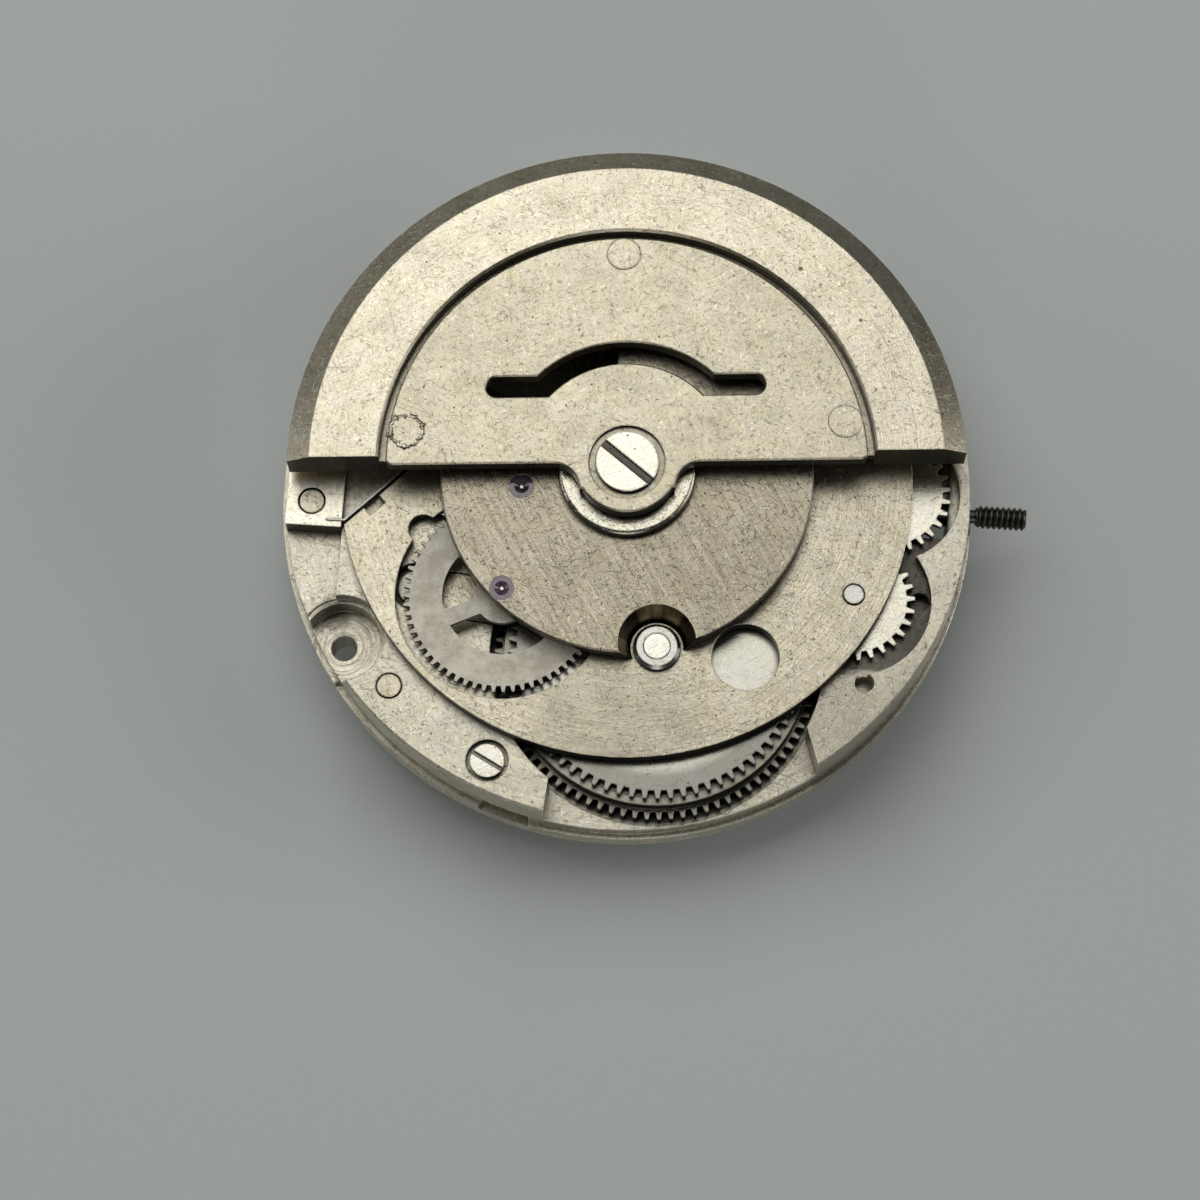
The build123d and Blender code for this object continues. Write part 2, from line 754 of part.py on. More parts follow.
# Studs that hold the crown wheel and its neighbour under the bridge
stud_flange_r = 0.62
stud_flange_t = 0.1
stud_z = ratchet_z - running - stud_flange_t
with BuildPart() as winding_studs:
    for place, stud_top in ((crown_at, crown_stud_top), (transmission_at, bridge_top + lift)):
        post(place, stud_r, stud_z, stud_top)
        post(place, stud_flange_r, stud_z, stud_z + stud_flange_t)
keep(winding_studs, "winding_studs")

# Rotor: bearing ring on the automatic bridge, balls, hub, plate, weight, rivets and screw
ring_rise = 0.42
race_r = 1.42
ball_r = 0.26
ball_count = 9
ball_z = auto_top + lift
ring_edge = 0.16
ring_bore_r = 1.54
hub_r = 1.12
hub_flange_z = auto_top + ring_rise + running
hub_flange_r = 1.82
rotor_boss_r = 1.92
rotor_fillet = 1.0
rotor_corner = 0.25
slot_in_r = 3.85
slot_out_r = 4.68
slot_tail_y = 2.98
slot_tail_in = 3.3
slot_tail_out = 4.75
slot_tail_w = 0.8
seat_r = 1.41
seat_depth = 0.16
rotor_screw_r = 1.16
rotor_screw_rise = 0.06
rotor_screw_edge = 0.03
rotor_thread_r = 0.5
rivet_r = 0.62
rivet_inset = 0.66
rivet_ring_r = rotor_plate_r - rivet_inset
rivet_turns = (10.3, 90.0, 170.8)
weight_end_y = 0.34
weight_bevel = 0.85
weight_bevel_h = 0.5
weight_lip = 0.1
weight_ledge_t = 0.45

with BuildPart() as bearing_ring:
    post(axis, bearing_spigot_r, auto_z, auto_top)
    post(axis, bearing_r, auto_top, auto_top + ring_rise)
    fillet(bearing_ring.faces().sort_by(Axis.Z)[-1].edges(), ring_edge)
    hole(axis, ring_bore_r, auto_z, auto_top + ring_rise)
    with BuildSketch(Plane.XZ):
        with Locations((race_r, ball_z)):
            Circle(ball_r + running)
    revolve(axis=Axis.Z, mode=Mode.SUBTRACT)
keep(bearing_ring, "bearing_ring")

with BuildPart() as bearing_balls:
    for number in range(ball_count):
        with Locations((*polar(axis, race_r, number * 360 / ball_count), ball_z)):
            Sphere(ball_r)
keep(bearing_balls, "bearing_balls")

rotor_pinion_t = 0.3
with BuildPart() as rotor_hub:
    post(axis, hub_r, auto_z - clear / 2, hub_flange_z)
    post(axis, hub_flange_r, hub_flange_z, rotor_z)
    with BuildSketch(Plane.XZ):
        with Locations((race_r, ball_z)):
            Circle(ball_r + running)
    revolve(axis=Axis.Z, mode=Mode.SUBTRACT)
    with BuildSketch(level(axis, auto_z - clear / 2 - rotor_pinion_t)):
        toothed_face(rotor_gear)
    extrude(amount=rotor_pinion_t)
    hole(axis, rotor_thread_r, auto_z, rotor_z)
keep(rotor_hub, "rotor_hub")

# the rotor's own plane is turned to where the photograph shows it at rest
rotor_turn = degrees(rest_turn)
boss_join = sqrt((rotor_boss_r + rotor_fillet) ** 2 - rotor_fillet**2)
tail_bottom = slot_tail_y - slot_tail_w / 2
with BuildPart() as rotor_plate:
    with BuildSketch(level(axis, rotor_z, rotor_turn)):
        with BuildLine():
            RadiusArc((-rotor_plate_r, 0), (rotor_plate_r, 0), rotor_plate_r)
            Line((rotor_plate_r, 0), (-rotor_plate_r, 0))
        make_face()
        fillet(vertices(), rotor_corner)
        Circle(rotor_boss_r)
        with Locations((0, -rotor_fillet / 2)):
            Rectangle(2 * boss_join, rotor_fillet)
        with Locations((boss_join, -rotor_fillet), (-boss_join, -rotor_fillet)):
            Circle(rotor_fillet, mode=Mode.SUBTRACT)
    extrude(amount=rotor_t)
    # bent slot: an arc with a straight tail at each end
    with BuildSketch(level(axis, rotor_z, rotor_turn)):
        Circle(slot_out_r)
        Circle(slot_in_r, mode=Mode.SUBTRACT)
        with Locations((0, tail_bottom - slot_out_r)):
            Rectangle(2 * slot_out_r, 2 * slot_out_r, mode=Mode.SUBTRACT)
        for side in (-1, 1):
            slot_face((side * slot_tail_in, slot_tail_y), (side * slot_tail_out, slot_tail_y), slot_tail_w)
    extrude(amount=rotor_t, mode=Mode.SUBTRACT)
    chamfer(rotor_plate.faces().sort_by(Axis.Z)[-1].edges(), edge_break)
    hole(axis, rotor_thread_r + running, rotor_z, rotor_top)
    hole(axis, seat_r, rotor_top - seat_depth, rotor_top)
    for turn in rivet_turns:
        hole(polar(axis, rivet_ring_r, turn + rotor_turn), rivet_r, rotor_z, rotor_top)
keep(rotor_plate, "rotor_plate")

ledge_w = 1.29
ledge_in_r = rotor_plate_r - ledge_w
with BuildPart() as rotor_weight:
    with BuildSketch(Plane.XZ):
        with BuildLine():
            Polyline(
                (ledge_in_r, rotor_z - weight_ledge_t),
                (weight_in_r, rotor_z - weight_ledge_t),
                (weight_in_r, weight_z),
                (weight_r, weight_z),
                (weight_r, rotor_top - weight_bevel_h),
                (weight_r - weight_bevel, rotor_top),
                (weight_in_r + weight_lip, rotor_top),
                (weight_in_r, rotor_top - weight_lip),
                (weight_in_r, rotor_z),
                (ledge_in_r, rotor_z),
                close=True,
            )
        make_face()
    revolve(axis=Axis.Z)
    with BuildSketch(level(axis, weight_z, rotor_turn)):
        with Locations((0, weight_end_y - case_r)):
            Rectangle(2 * case_r + overrun, 2 * case_r)
    extrude(amount=rotor_top - weight_z, mode=Mode.SUBTRACT)
    for turn in rivet_turns:
        hole(polar(axis, rivet_ring_r, turn + rotor_turn), rivet_r, weight_z, rotor_z)
keep(rotor_weight, "rotor_weight")

with BuildPart() as rotor_rivets:
    for turn in rivet_turns:
        post(polar(axis, rivet_ring_r, turn + rotor_turn), rivet_r, rotor_z - weight_ledge_t, rotor_top + running)
keep(rotor_rivets, "rotor_rivets")

rotor_slot_turn = -37.0
with BuildPart() as rotor_screw:
    head_top = rotor_top + rotor_screw_rise
    screw(axis, head_top, rotor_screw_r, head_top - rotor_top + seat_depth, rotor_thread_r, auto_z, rotor_slot_turn)
    chamfer(rotor_screw.faces().filter_by(Axis.Z).sort_by(Axis.Z)[-1].outer_wire().edges(), rotor_screw_edge)
keep(rotor_screw, "rotor_screw")


# An arbor with a thin pivot at each end
pivot_h = 0.27
plate_pivot_z = web_bottom + lift


def arbor(place, bottom, top):
    post(place, pivot_r, bottom, bottom + pivot_h)
    post(place, arbor_r, bottom + pivot_h, top - pivot_h)
    post(place, pivot_r, top - pivot_h, top)


# A wheel or pinion of plain teeth, added to the part being built
def toothed_disc(gear, place, turn, bottom, thickness):
    with BuildSketch(level(place, bottom, turn)) as outline:
        toothed_face(gear)
    extrude(outline.sketch, amount=thickness)


def spoked_wheel(gear, place, turn, bottom, thickness, rim_w, hub_r, spokes, spoke_w):
    with BuildSketch(level(place, bottom, turn)) as outline:
        spoked_face(gear, rim_w, hub_r, spokes, spoke_w)
    extrude(outline.sketch, amount=thickness)


# Self-winding train
reversing_turn = mesh_turn(rotor_gear, 0, reversing_gear, bearing_of(axis, reversing_at))
reduction_turn = 86.0
reversing_pinion_turn = mesh_turn(
    reduction_gear, reduction_turn, reversing_pinion_gear, bearing_of(reduction_at, reversing_at)
)
reduction_pinion_turn = mesh_turn(
    ratchet_gear, 0, reduction_pinion_gear, bearing_of(barrel_at, reduction_at)
)
auto_pivot_top = auto_jewel_z + pivot_reach
reversing_low = tongue_z + lift
reduction_low = reduction_cock_z + lift
reversing_leaf_z = tongue_top + lift
reduction_leaf_z = reduction_cock_z + reduction_cock_t + lift
reversing_rim_w = 0.45
reversing_hub_r = 0.7
reversing_spoke_w = 0.3

with BuildPart() as reversing_wheel:
    spoked_wheel(
        reversing_gear,
        reversing_at,
        reversing_turn,
        reversing_z,
        reversing_t,
        reversing_rim_w,
        reversing_hub_r,
        5,
        reversing_spoke_w,
    )
    hole(reversing_at, arbor_r + running, reversing_z, reversing_z + reversing_t)
keep(reversing_wheel, "reversing_wheel")

with BuildPart() as reversing_pinion:
    arbor(reversing_at, reversing_low, auto_pivot_top)
    leaf_h = bridge_top - running - reversing_leaf_z
    toothed_disc(reversing_pinion_gear, reversing_at, reversing_pinion_turn, reversing_leaf_z, leaf_h)
keep(reversing_pinion, "reversing_pinion")

reduction_rim_w = 1.2
reduction_hub_r = 1.05
reduction_spoke_w = 0.62
reduction_core_r = 0.4
with BuildPart() as reduction_wheel:
    spoked_wheel(
        reduction_gear,
        reduction_at,
        reduction_turn,
        reduction_z,
        reduction_t,
        reduction_rim_w,
        reduction_hub_r,
        3,
        reduction_spoke_w,
    )
    hole(reduction_at, reduction_core_r, reduction_z, reduction_z + reduction_t)
keep(reduction_wheel, "reduction_wheel")

with BuildPart() as reduction_pinion:
    arbor(reduction_at, reduction_low, auto_pivot_top)
    leaf_h = reduction_z - reduction_leaf_z
    toothed_disc(reduction_pinion_gear, reduction_at, reduction_pinion_turn, reduction_leaf_z, leaf_h)
    post(reduction_at, reduction_core_r, reduction_z, reduction_z + reduction_t)
keep(reduction_pinion, "reduction_pinion")

# Winding train: ratchet wheel on the barrel arbor, its neighbour and the crown wheel
transmission_turn = mesh_turn(ratchet_gear, 0, transmission_gear, bearing_of(barrel_at, transmission_at))
crown_turn = mesh_turn(
    transmission_gear, transmission_turn, crown_gear, bearing_of(transmission_at, crown_at)
)
ratchet_square = 0.8
face_ring_in = 0.7
face_ring_out = 1.1
face_ring_h = 0.16
face_teeth = 15

with BuildPart() as ratchet_wheel:
    toothed_disc(ratchet_gear, barrel_at, 0, ratchet_z, ratchet_t)
    with BuildSketch(level(barrel_at, ratchet_z)):
        Rectangle(ratchet_square, ratchet_square)
    extrude(amount=ratchet_t, mode=Mode.SUBTRACT)
keep(ratchet_wheel, "ratchet_wheel")

with BuildPart() as transmission_wheel:
    toothed_disc(transmission_gear, transmission_at, transmission_turn, ratchet_z, ratchet_t)
    hole(transmission_at, stud_r + running, ratchet_z, ratchet_z + ratchet_t)
keep(transmission_wheel, "transmission_wheel")

# the crown wheel has a ring of face teeth below, which the winding pinion drives
with BuildPart() as crown_wheel:
    toothed_disc(crown_gear, crown_at, crown_turn, ratchet_z, ratchet_t)
    with BuildSketch(level(crown_at, ratchet_z - face_ring_h)):
        Circle(face_ring_out)
        Circle(face_ring_in, mode=Mode.SUBTRACT)
        with PolarLocations(face_ring_out, face_teeth):
            Rectangle(2 * face_ring_out, pi * face_ring_out / face_teeth / 2, mode=Mode.SUBTRACT)
    extrude(amount=face_ring_h)
    hole(crown_at, stud_r + running, ratchet_z, ratchet_z + ratchet_t)
keep(crown_wheel, "crown_wheel")

# Click: a two-armed pawl under the bridge, its tip on the reduction wheel's teeth
with BuildPart() as click:
    with BuildSketch(level(axis, click_z)):
        with BuildLine():
            Polyline(
                polar(click_pivot_at, click_r, bearing_of(click_pivot_at, click_tip_at) + 90),
                click_tip_at,
                polar(click_pivot_at, click_r, bearing_of(click_pivot_at, click_tip_at) - 90),
                close=True,
            )
        make_face()
        slot_face(click_pivot_at, click_tail_at, 2 * click_tail_r)
        with Locations(click_pivot_at):
            Circle(click_r)
            Circle(click_post_r + running, mode=Mode.SUBTRACT)
    extrude(amount=click_t)
keep(click, "click")

# Blade spring of the click: a strip on edge, from the clamp block along the bridge's slanted side
blade_t = 0.08
blade_h = 0.36
blade_z = bridge_z + clear
blade_l = 3.08
blade_root_l = 0.65
blade_inset = 0.27
blade_bend_at = (block_in + clear, block_front + blade_inset)
blade_root_at = polar(blade_bend_at, blade_root_l, 180.0)
blade_tip_at = polar(blade_bend_at, blade_l, 45.7)
with BuildPart() as click_spring:
    with BuildSketch(level(axis, blade_z)):
        slot_face(blade_root_at, blade_bend_at, blade_t)
        slot_face(blade_bend_at, blade_tip_at, blade_t)
    extrude(amount=blade_h)
keep(click_spring, "click_spring")

with BuildPart() as clamp_block:
    with BuildSketch(level(axis, block_bottom)):
        with Locations(((block_in + block_out) / 2, (block_front + block_back) / 2)):
            Rectangle(block_in - block_out, block_back - block_front)
        Circle(case_r - rim_step - lift, mode=Mode.INTERSECT)
        with Locations(block_pin_at):
            Circle(block_pin_r + steady_ring, mode=Mode.SUBTRACT)
        slot_face(blade_root_at, blade_bend_at, blade_t, Mode.SUBTRACT)
    extrude(amount=block_top - block_bottom)
keep(clamp_block, "clamp_block")


# Outline of a flat spiral strip, drawn as half turns about two centres in turn
def spiral_face(start_r, pitch, halves, width):
    with BuildLine() as outline:
        for side in (-1, 1):
            for half in range(halves):
                centre_x = pitch / 2 if half % 2 else 0
                radius = start_r + half * pitch / 2 + side * width / 2
                CenterArc((centre_x, 0), radius, 180 * (half % 2), 180)
        Line((start_r - width / 2, 0), (start_r + width / 2, 0))
        end_r = start_r + halves * pitch / 2
        end_x = -end_r + pitch / 2 if halves % 2 else end_r
        Line((end_x - width / 2, 0), (end_x + width / 2, 0))
    make_face(outline.edges())


# Barrel: toothed drum, cover, arbor and mainspring
drum_wall = 0.3
drum_floor = 0.18
cover_t = 0.15
arbor_core_r = 1.25
arbor_neck_r = 0.6
spring_t = 0.09
spring_pitch = 0.41
spring_halves = 18
spring_gap = 0.04
barrel_top = barrel_z + barrel_h

with BuildPart() as barrel_drum:
    toothed_disc(barrel_gear, barrel_at, 0, barrel_z, barrel_tooth_h)
    post(barrel_at, drum_r, barrel_z + barrel_tooth_h, barrel_top)
    hole(barrel_at, drum_r - drum_wall, barrel_z + drum_floor, barrel_top)
    hole(barrel_at, arbor_neck_r + running, barrel_z, barrel_top)
keep(barrel_drum, "barrel_drum")

with BuildPart() as barrel_cover:
    post(barrel_at, drum_r - drum_wall, barrel_top - cover_t, barrel_top)
    hole(barrel_at, arbor_neck_r + running, barrel_top - cover_t, barrel_top)
keep(barrel_cover, "barrel_cover")

core_low = barrel_z + drum_floor + spring_gap
core_top = barrel_top - cover_t - spring_gap
with BuildPart() as barrel_arbor:
    post(barrel_at, barrel_low_r, plate_pivot_z, barrel_z)
    post(barrel_at, arbor_neck_r, barrel_z - running, ratchet_z)
    post(barrel_at, arbor_core_r, core_low, core_top)
    with BuildSketch(level(barrel_at, ratchet_z)):
        Rectangle(ratchet_square, ratchet_square)
    extrude(amount=ratchet_t)
    post(barrel_at, barrel_pivot_r, ratchet_z + ratchet_t, bush_top + running)
keep(barrel_arbor, "barrel_arbor")

with BuildPart() as mainspring:
    with BuildSketch(level(barrel_at, core_low)):
        spiral_face(arbor_core_r + spring_t, spring_pitch, spring_halves, spring_t)
    extrude(amount=core_top - core_low)
keep(mainspring, "mainspring")

# Going train
centre_pinion_turn = mesh_turn(barrel_gear, 0, centre_pinion_gear, bearing_of(barrel_at, axis))
third_pinion_turn = mesh_turn(centre_gear, 0, third_pinion_gear, bearing_of(axis, third_at))
fourth_pinion_turn = mesh_turn(third_gear, 0, fourth_pinion_gear, bearing_of(third_at, fourth_at))
seconds_turn = mesh_turn(third_gear, 0, fourth_pinion_gear, bearing_of(third_at, axis))
escape_pinion_turn = mesh_turn(fourth_gear, 0, escape_pinion_gear, bearing_of(fourth_at, escape_at))
bridge_pivot_top = bridge_jewel_z + pivot_reach
centre_tube_top = third_wheel_z - wall_gap
centre_hub_r = 1.0
centre_collar_r = 0.55
rim_w = 0.45
hub_w = 0.45
spoke_w = 0.3

with BuildPart() as centre_wheel:
    spoked_wheel(centre_gear, axis, 0, centre_wheel_z, wheel_t, rim_w, centre_hub_r, 4, spoke_w)
    toothed_disc(centre_pinion_gear, axis, centre_pinion_turn, barrel_z, barrel_tooth_h + lift)
    post(axis, centre_tube_r, cannon_tip_z + clear, centre_tube_top)
    post(axis, centre_collar_r, centre_wheel_z + wheel_t, barrel_z)
    hole(axis, centre_bore_r, cannon_tip_z, centre_tube_top)
keep(centre_wheel, "centre_wheel")

with BuildPart() as third_wheel:
    arbor(third_at, plate_pivot_z, bridge_pivot_top)
    toothed_disc(third_pinion_gear, third_at, third_pinion_turn, centre_floor_z + running, pinion_h)
    spoked_wheel(third_gear, third_at, 0, third_wheel_z, wheel_t, rim_w, hub_w, 4, spoke_w)
keep(third_wheel, "third_wheel")

with BuildPart() as fourth_wheel:
    arbor(fourth_at, plate_pivot_z, bridge_pivot_top)
    toothed_disc(fourth_pinion_gear, fourth_at, fourth_pinion_turn, third_wheel_z - 2 * lift, pinion_h)
    spoked_wheel(fourth_gear, fourth_at, 0, fourth_wheel_z, wheel_t, rim_w, hub_w, 4, spoke_w)
keep(fourth_wheel, "fourth_wheel")

with BuildPart() as seconds_pinion:
    post(axis, seconds_seat_r, seconds_tip_z, cannon_tip_z - running)
    taper(axis, seconds_seat_r, seconds_r, cannon_tip_z - running, seconds_neck_z)
    post(axis, seconds_r, seconds_neck_z, bridge_jewel_z)
    post(axis, pivot_r, bridge_jewel_z, bridge_pivot_top)
    toothed_disc(fourth_pinion_gear, axis, seconds_turn, third_wheel_z - 2 * lift, pinion_h)
keep(seconds_pinion, "seconds_pinion")

# Escapement: escape wheel, pallet fork with its stones, balance, roller and hairspring
escape_r = 2.0
escape_root_r = 1.5
escape_teeth = 15
escape_rim_in = 1.2
escape_lean_share = 0.35
escape_top_share = 0.12
stone_l = 0.5
stone_w = 0.2
stone_gap = 0.03
stone_angle = 28.0
fork_z = escape_wheel_z
lever_w = 0.3
notch_w = 0.2
horn_l = 0.3
fork_tip = 2.75
pin_r = 0.06
lip = 0.1

with BuildPart() as escape_wheel:
    arbor(escape_at, plate_pivot_z, bridge_pivot_top)
    toothed_disc(escape_pinion_gear, escape_at, escape_pinion_turn, fourth_wheel_z - 2 * lift, pinion_h - lift)
    with BuildSketch(level(escape_at, escape_wheel_z)) as teeth:
        step = 360 / escape_teeth
        corners = (
            (0, escape_root_r),
            (escape_lean_share, escape_r),
            (escape_lean_share + escape_top_share, escape_r),
            (escape_lean_share, escape_root_r),
        )
        points = [
            polar(axis, radius, step * (tooth + share))
            for tooth in range(escape_teeth)
            for share, radius in corners
        ]
        with BuildLine() as outline:
            Polyline(*points, close=True)
        make_face()
        Circle(escape_rim_in, mode=Mode.SUBTRACT)
        Circle(hub_w)
        with PolarLocations(escape_rim_in / 2, 4):
            Rectangle(escape_rim_in + clear, spoke_w / 2)
    extrude(amount=wheel_t)
keep(escape_wheel, "escape_wheel")

fork_turn = bearing_of(fork_at, balance_at)
stone_r = escape_r + stone_gap + stone_l / 2
stone_places = [polar((-fork_reach, 0), stone_r, side * stone_angle) for side in (-1, 1)]
with BuildPart() as pallet_stones:
    with BuildSketch(level(fork_at, fork_z, fork_turn)):
        for place, side in zip(stone_places, (-1, 1)):
            with Locations(place):
                Rectangle(stone_l, stone_w, rotation=side * stone_angle)
    extrude(amount=wheel_t)
keep(pallet_stones, "pallet_stones")

with BuildPart() as pallet_fork:
    with BuildSketch(level(fork_at, fork_z, fork_turn)):
        for place, side in zip(stone_places, (-1, 1)):
            slot_face((0, 0), place, lever_w)
            with Locations(polar((-fork_reach, 0), stone_r + lip, side * stone_angle)):
                Rectangle(stone_l, stone_w + 2 * lip, rotation=side * stone_angle)
            with Locations(place):
                Rectangle(stone_l, stone_w, rotation=side * stone_angle, mode=Mode.SUBTRACT)
        slot_face((0, 0), (fork_tip - horn_l, 0), lever_w)
        with Locations((fork_tip - horn_l / 2, 0)):
            Rectangle(horn_l, 2 * lever_w + notch_w)
            Rectangle(horn_l, notch_w, mode=Mode.SUBTRACT)
        Circle(lever_w)
    extrude(amount=wheel_t)
    arbor(fork_at, plate_pivot_z, pallet_jewel_z + pivot_reach)
keep(pallet_fork, "pallet_fork")

staff_r = 0.2
roller_r = 0.68
roller_z = fork_z + wheel_t + wall_gap
roller_t = 0.1
pin_at = polar(balance_at, fork_length - fork_tip + horn_l / 2, bearing_of(balance_at, fork_at))
balance_rim_w = 0.5
hairspring_r = 0.5
hairspring_pitch = 0.42
hairspring_halves = 11
hairspring_t = 0.06
hairspring_z = balance_z + balance_t + clear
hairspring_h = 0.12
spring_turn = bearing_of(balance_at, cock_foot_at)
staff_shoulder_z = cock_z + lift
staff_top = setting_low + pivot_reach

with BuildPart() as balance_wheel:
    with BuildSketch(level(balance_at, balance_z, fork_turn)):
        Circle(balance_r)
        Circle(balance_r - balance_rim_w, mode=Mode.SUBTRACT)
        Circle(2 * staff_r)
        with PolarLocations((balance_r - balance_rim_w) / 2, 3):
            Rectangle(balance_r, spoke_w)
        Circle(staff_r, mode=Mode.SUBTRACT)
    extrude(amount=balance_t)
keep(balance_wheel, "balance_wheel")

with BuildPart() as balance_staff:
    post(balance_at, pivot_r, plate_pivot_z, plate_pivot_z + pivot_h)
    post(balance_at, staff_r, plate_pivot_z + pivot_h, staff_shoulder_z)
    post(balance_at, hairspring_r - hairspring_t / 2, hairspring_z, hairspring_z + hairspring_h)
    post(balance_at, pivot_r, staff_shoulder_z, staff_top)
keep(balance_staff, "balance_staff")

with BuildPart() as roller:
    post(balance_at, roller_r, roller_z, roller_z + roller_t)
    post(pin_at, pin_r, fork_z + clear / 4, roller_z)
    hole(balance_at, staff_r, roller_z, roller_z + roller_t)
keep(roller, "roller")

# the stud hangs from the cock and holds the hairspring's outer end
stud_post_r = 0.14
hairspring_end_r = hairspring_r + (hairspring_halves - 1) * hairspring_pitch / 2
stud_at = polar(balance_at, hairspring_end_r + hairspring_t / 2 + stud_post_r, spring_turn)
with BuildPart() as hairspring:
    with BuildSketch(level(balance_at, hairspring_z, spring_turn + 180)):
        spiral_face(hairspring_r, hairspring_pitch, hairspring_halves, hairspring_t)
    extrude(amount=hairspring_h)
    post(stud_at, stud_post_r, hairspring_z, cock_z)
keep(hairspring, "hairspring")

regulator_z = cock_z + cock_t + running
regulator_ring_w = 0.3
regulator_w = 0.5
regulator_t = 0.12
regulator_l = 2.5
regulator_bearing = -75.0
with BuildPart() as regulator:
    with BuildSketch(level(axis, regulator_z)):
        with Locations(balance_at):
            Circle(setting_r + regulator_ring_w)
        slot_face(balance_at, polar(balance_at, regulator_l, regulator_bearing), regulator_w)
        with Locations(balance_at):
            Circle(setting_r + running, mode=Mode.SUBTRACT)
    extrude(amount=regulator_t)
    post(polar(balance_at, regulator_l, regulator_bearing), pin_r, hairspring_z, regulator_z)
keep(regulator, "regulator")

# Motion works and date works on the dial side
hour_z = 0.12
minute_z = 0.45
setting_z = 0.5
works_t = 0.15
thick_t = 0.2
between_pinion_h = 0.33
drive_z = 0.42
finger_z = 0.29
finger_l = 2.1
finger_w = 0.16
date_ring_z = 0.12
date_ring_t = 0.26
date_ring_out = channel_r - clear
date_ring_lap = 0.35
date_ring_in = recess_r + date_ring_lap
date_tooth_lap = 0.08
date_tooth_r = recess_r + date_tooth_lap
date_teeth = 31
date_tooth_share = 0.3
jumper_bite = 0.04
jumper_nose_r = date_tooth_r + jumper_bite
jumper_nose_w = 0.24
jumper_bearing = -55.0
post_bore_r = minute_post_r + running
minute_turn = mesh_turn(cannon_gear, 0, minute_gear, bearing_of(axis, minute_at))
hour_turn = mesh_turn(minute_pinion_gear, 0, hour_gear, bearing_of(minute_at, axis))
setting_turn = mesh_turn(minute_gear, minute_turn, setting_gear, bearing_of(minute_at, setting_at))
between_turn = mesh_turn(hour_gear, hour_turn, date_between_gear, bearing_of(axis, date_between_at))
drive_turn = mesh_turn(
    date_pinion_gear, 0, date_drive_gear, bearing_of(date_between_at, date_drive_at)
)

with BuildPart() as cannon_pinion:
    post(axis, minute_seat_r, cannon_tip_z, hour_tip_z - running)
    taper(axis, cannon_r, cannon_r - running, hour_tip_z - running, minute_z - lift)
    toothed_disc(cannon_gear, axis, 0, minute_z - lift, thick_t + 2 * lift)
    hole(axis, centre_tube_r, cannon_tip_z, web_bottom)
keep(cannon_pinion, "cannon_pinion")

with BuildPart() as hour_wheel:
    spoked_wheel(hour_gear, axis, hour_turn, hour_z, works_t, rim_w, hour_r + works_t, 4, spoke_w)
    post(axis, hour_seat_r, hour_tip_z, seat_shoulder_z)
    post(axis, hour_r, seat_shoulder_z, minute_z - 2 * lift)
    hole(axis, cannon_r + running, hour_tip_z, minute_z)
keep(hour_wheel, "hour_wheel")

with BuildPart() as minute_wheel:
    toothed_disc(minute_gear, minute_at, minute_turn, minute_z, thick_t)
    toothed_disc(minute_pinion_gear, minute_at, 0, hour_z, minute_z - hour_z)
    hole(minute_at, post_bore_r, hour_z, minute_z + thick_t)
keep(minute_wheel, "minute_wheel")

with BuildPart() as setting_wheel:
    toothed_disc(setting_gear, setting_at, setting_turn, setting_z, 2 * works_t + lift)
    hole(setting_at, post_bore_r, setting_z, setting_h)
keep(setting_wheel, "setting_wheel")

with BuildPart() as date_between_wheel:
    toothed_disc(date_between_gear, date_between_at, between_turn, hour_z, works_t)
    toothed_disc(date_pinion_gear, date_between_at, 0, hour_z + works_t, between_pinion_h)
    hole(date_between_at, post_bore_r, hour_z, web_bottom)
keep(date_between_wheel, "date_between_wheel")

finger_end = polar(date_drive_at, finger_l - finger_w / 2, 100.0)
with BuildPart() as date_driving_wheel:
    toothed_disc(date_drive_gear, date_drive_at, drive_turn, drive_z, works_t)
    with BuildSketch(level(axis, finger_z)):
        slot_face(date_drive_at, finger_end, finger_w)
        with Locations(date_drive_at):
            Circle(2 * minute_post_r)
    extrude(amount=drive_z - finger_z)
    hole(date_drive_at, post_bore_r, finger_z, web_bottom)
keep(date_driving_wheel, "date_driving_wheel")

with BuildPart() as date_ring:
    with BuildSketch(level(axis, date_ring_z, jumper_bearing + 180 / date_teeth)):
        Circle(date_ring_out)
        step = 360 / date_teeth
        points = []
        for tooth in range(date_teeth):
            for share, radius in (
                (-date_tooth_share, date_ring_in),
                (0, date_tooth_r),
                (date_tooth_share, date_ring_in),
            ):
                points.append(polar(axis, radius, step * (tooth + share)))
        with BuildLine():
            Polyline(*points, close=True)
        make_face(mode=Mode.SUBTRACT)
    extrude(amount=date_ring_t)
keep(date_ring, "date_ring")

jumper_nose_at = polar(axis, jumper_nose_r - jumper_nose_w / 2, jumper_bearing)
with BuildPart() as date_jumper:
    with BuildSketch(level(axis, date_ring_z)):
        slot_face(jumper_at, jumper_nose_at, jumper_nose_w)
        with Locations(jumper_at):
            Circle(2 * minute_post_r)
            Circle(post_bore_r, mode=Mode.SUBTRACT)
    extrude(amount=works_t)
keep(date_jumper, "date_jumper")

calendar_head_r = 0.45
with BuildPart() as calendar_plate:
    post(axis, calendar_r, 0, calendar_t)
    hole(axis, hour_r + wall_gap, 0, calendar_t)
    for place in calendar_posts_at:
        hole(place, calendar_head_r, 0, calendar_t)
keep(calendar_plate, "calendar_plate")

with BuildPart() as calendar_screws:
    for place in calendar_posts_at:
        post(place, calendar_head_r, 0, calendar_t)
        post(place, calendar_screw_r - running, calendar_t, web_bottom - lift)
        with BuildSketch(level(place, 0, 30)) as slot:
            Rectangle(2 * calendar_head_r, slot_share * calendar_head_r)
        extrude(slot.sketch, amount=calendar_t / 2, mode=Mode.SUBTRACT)
keep(calendar_screws, "calendar_screws")

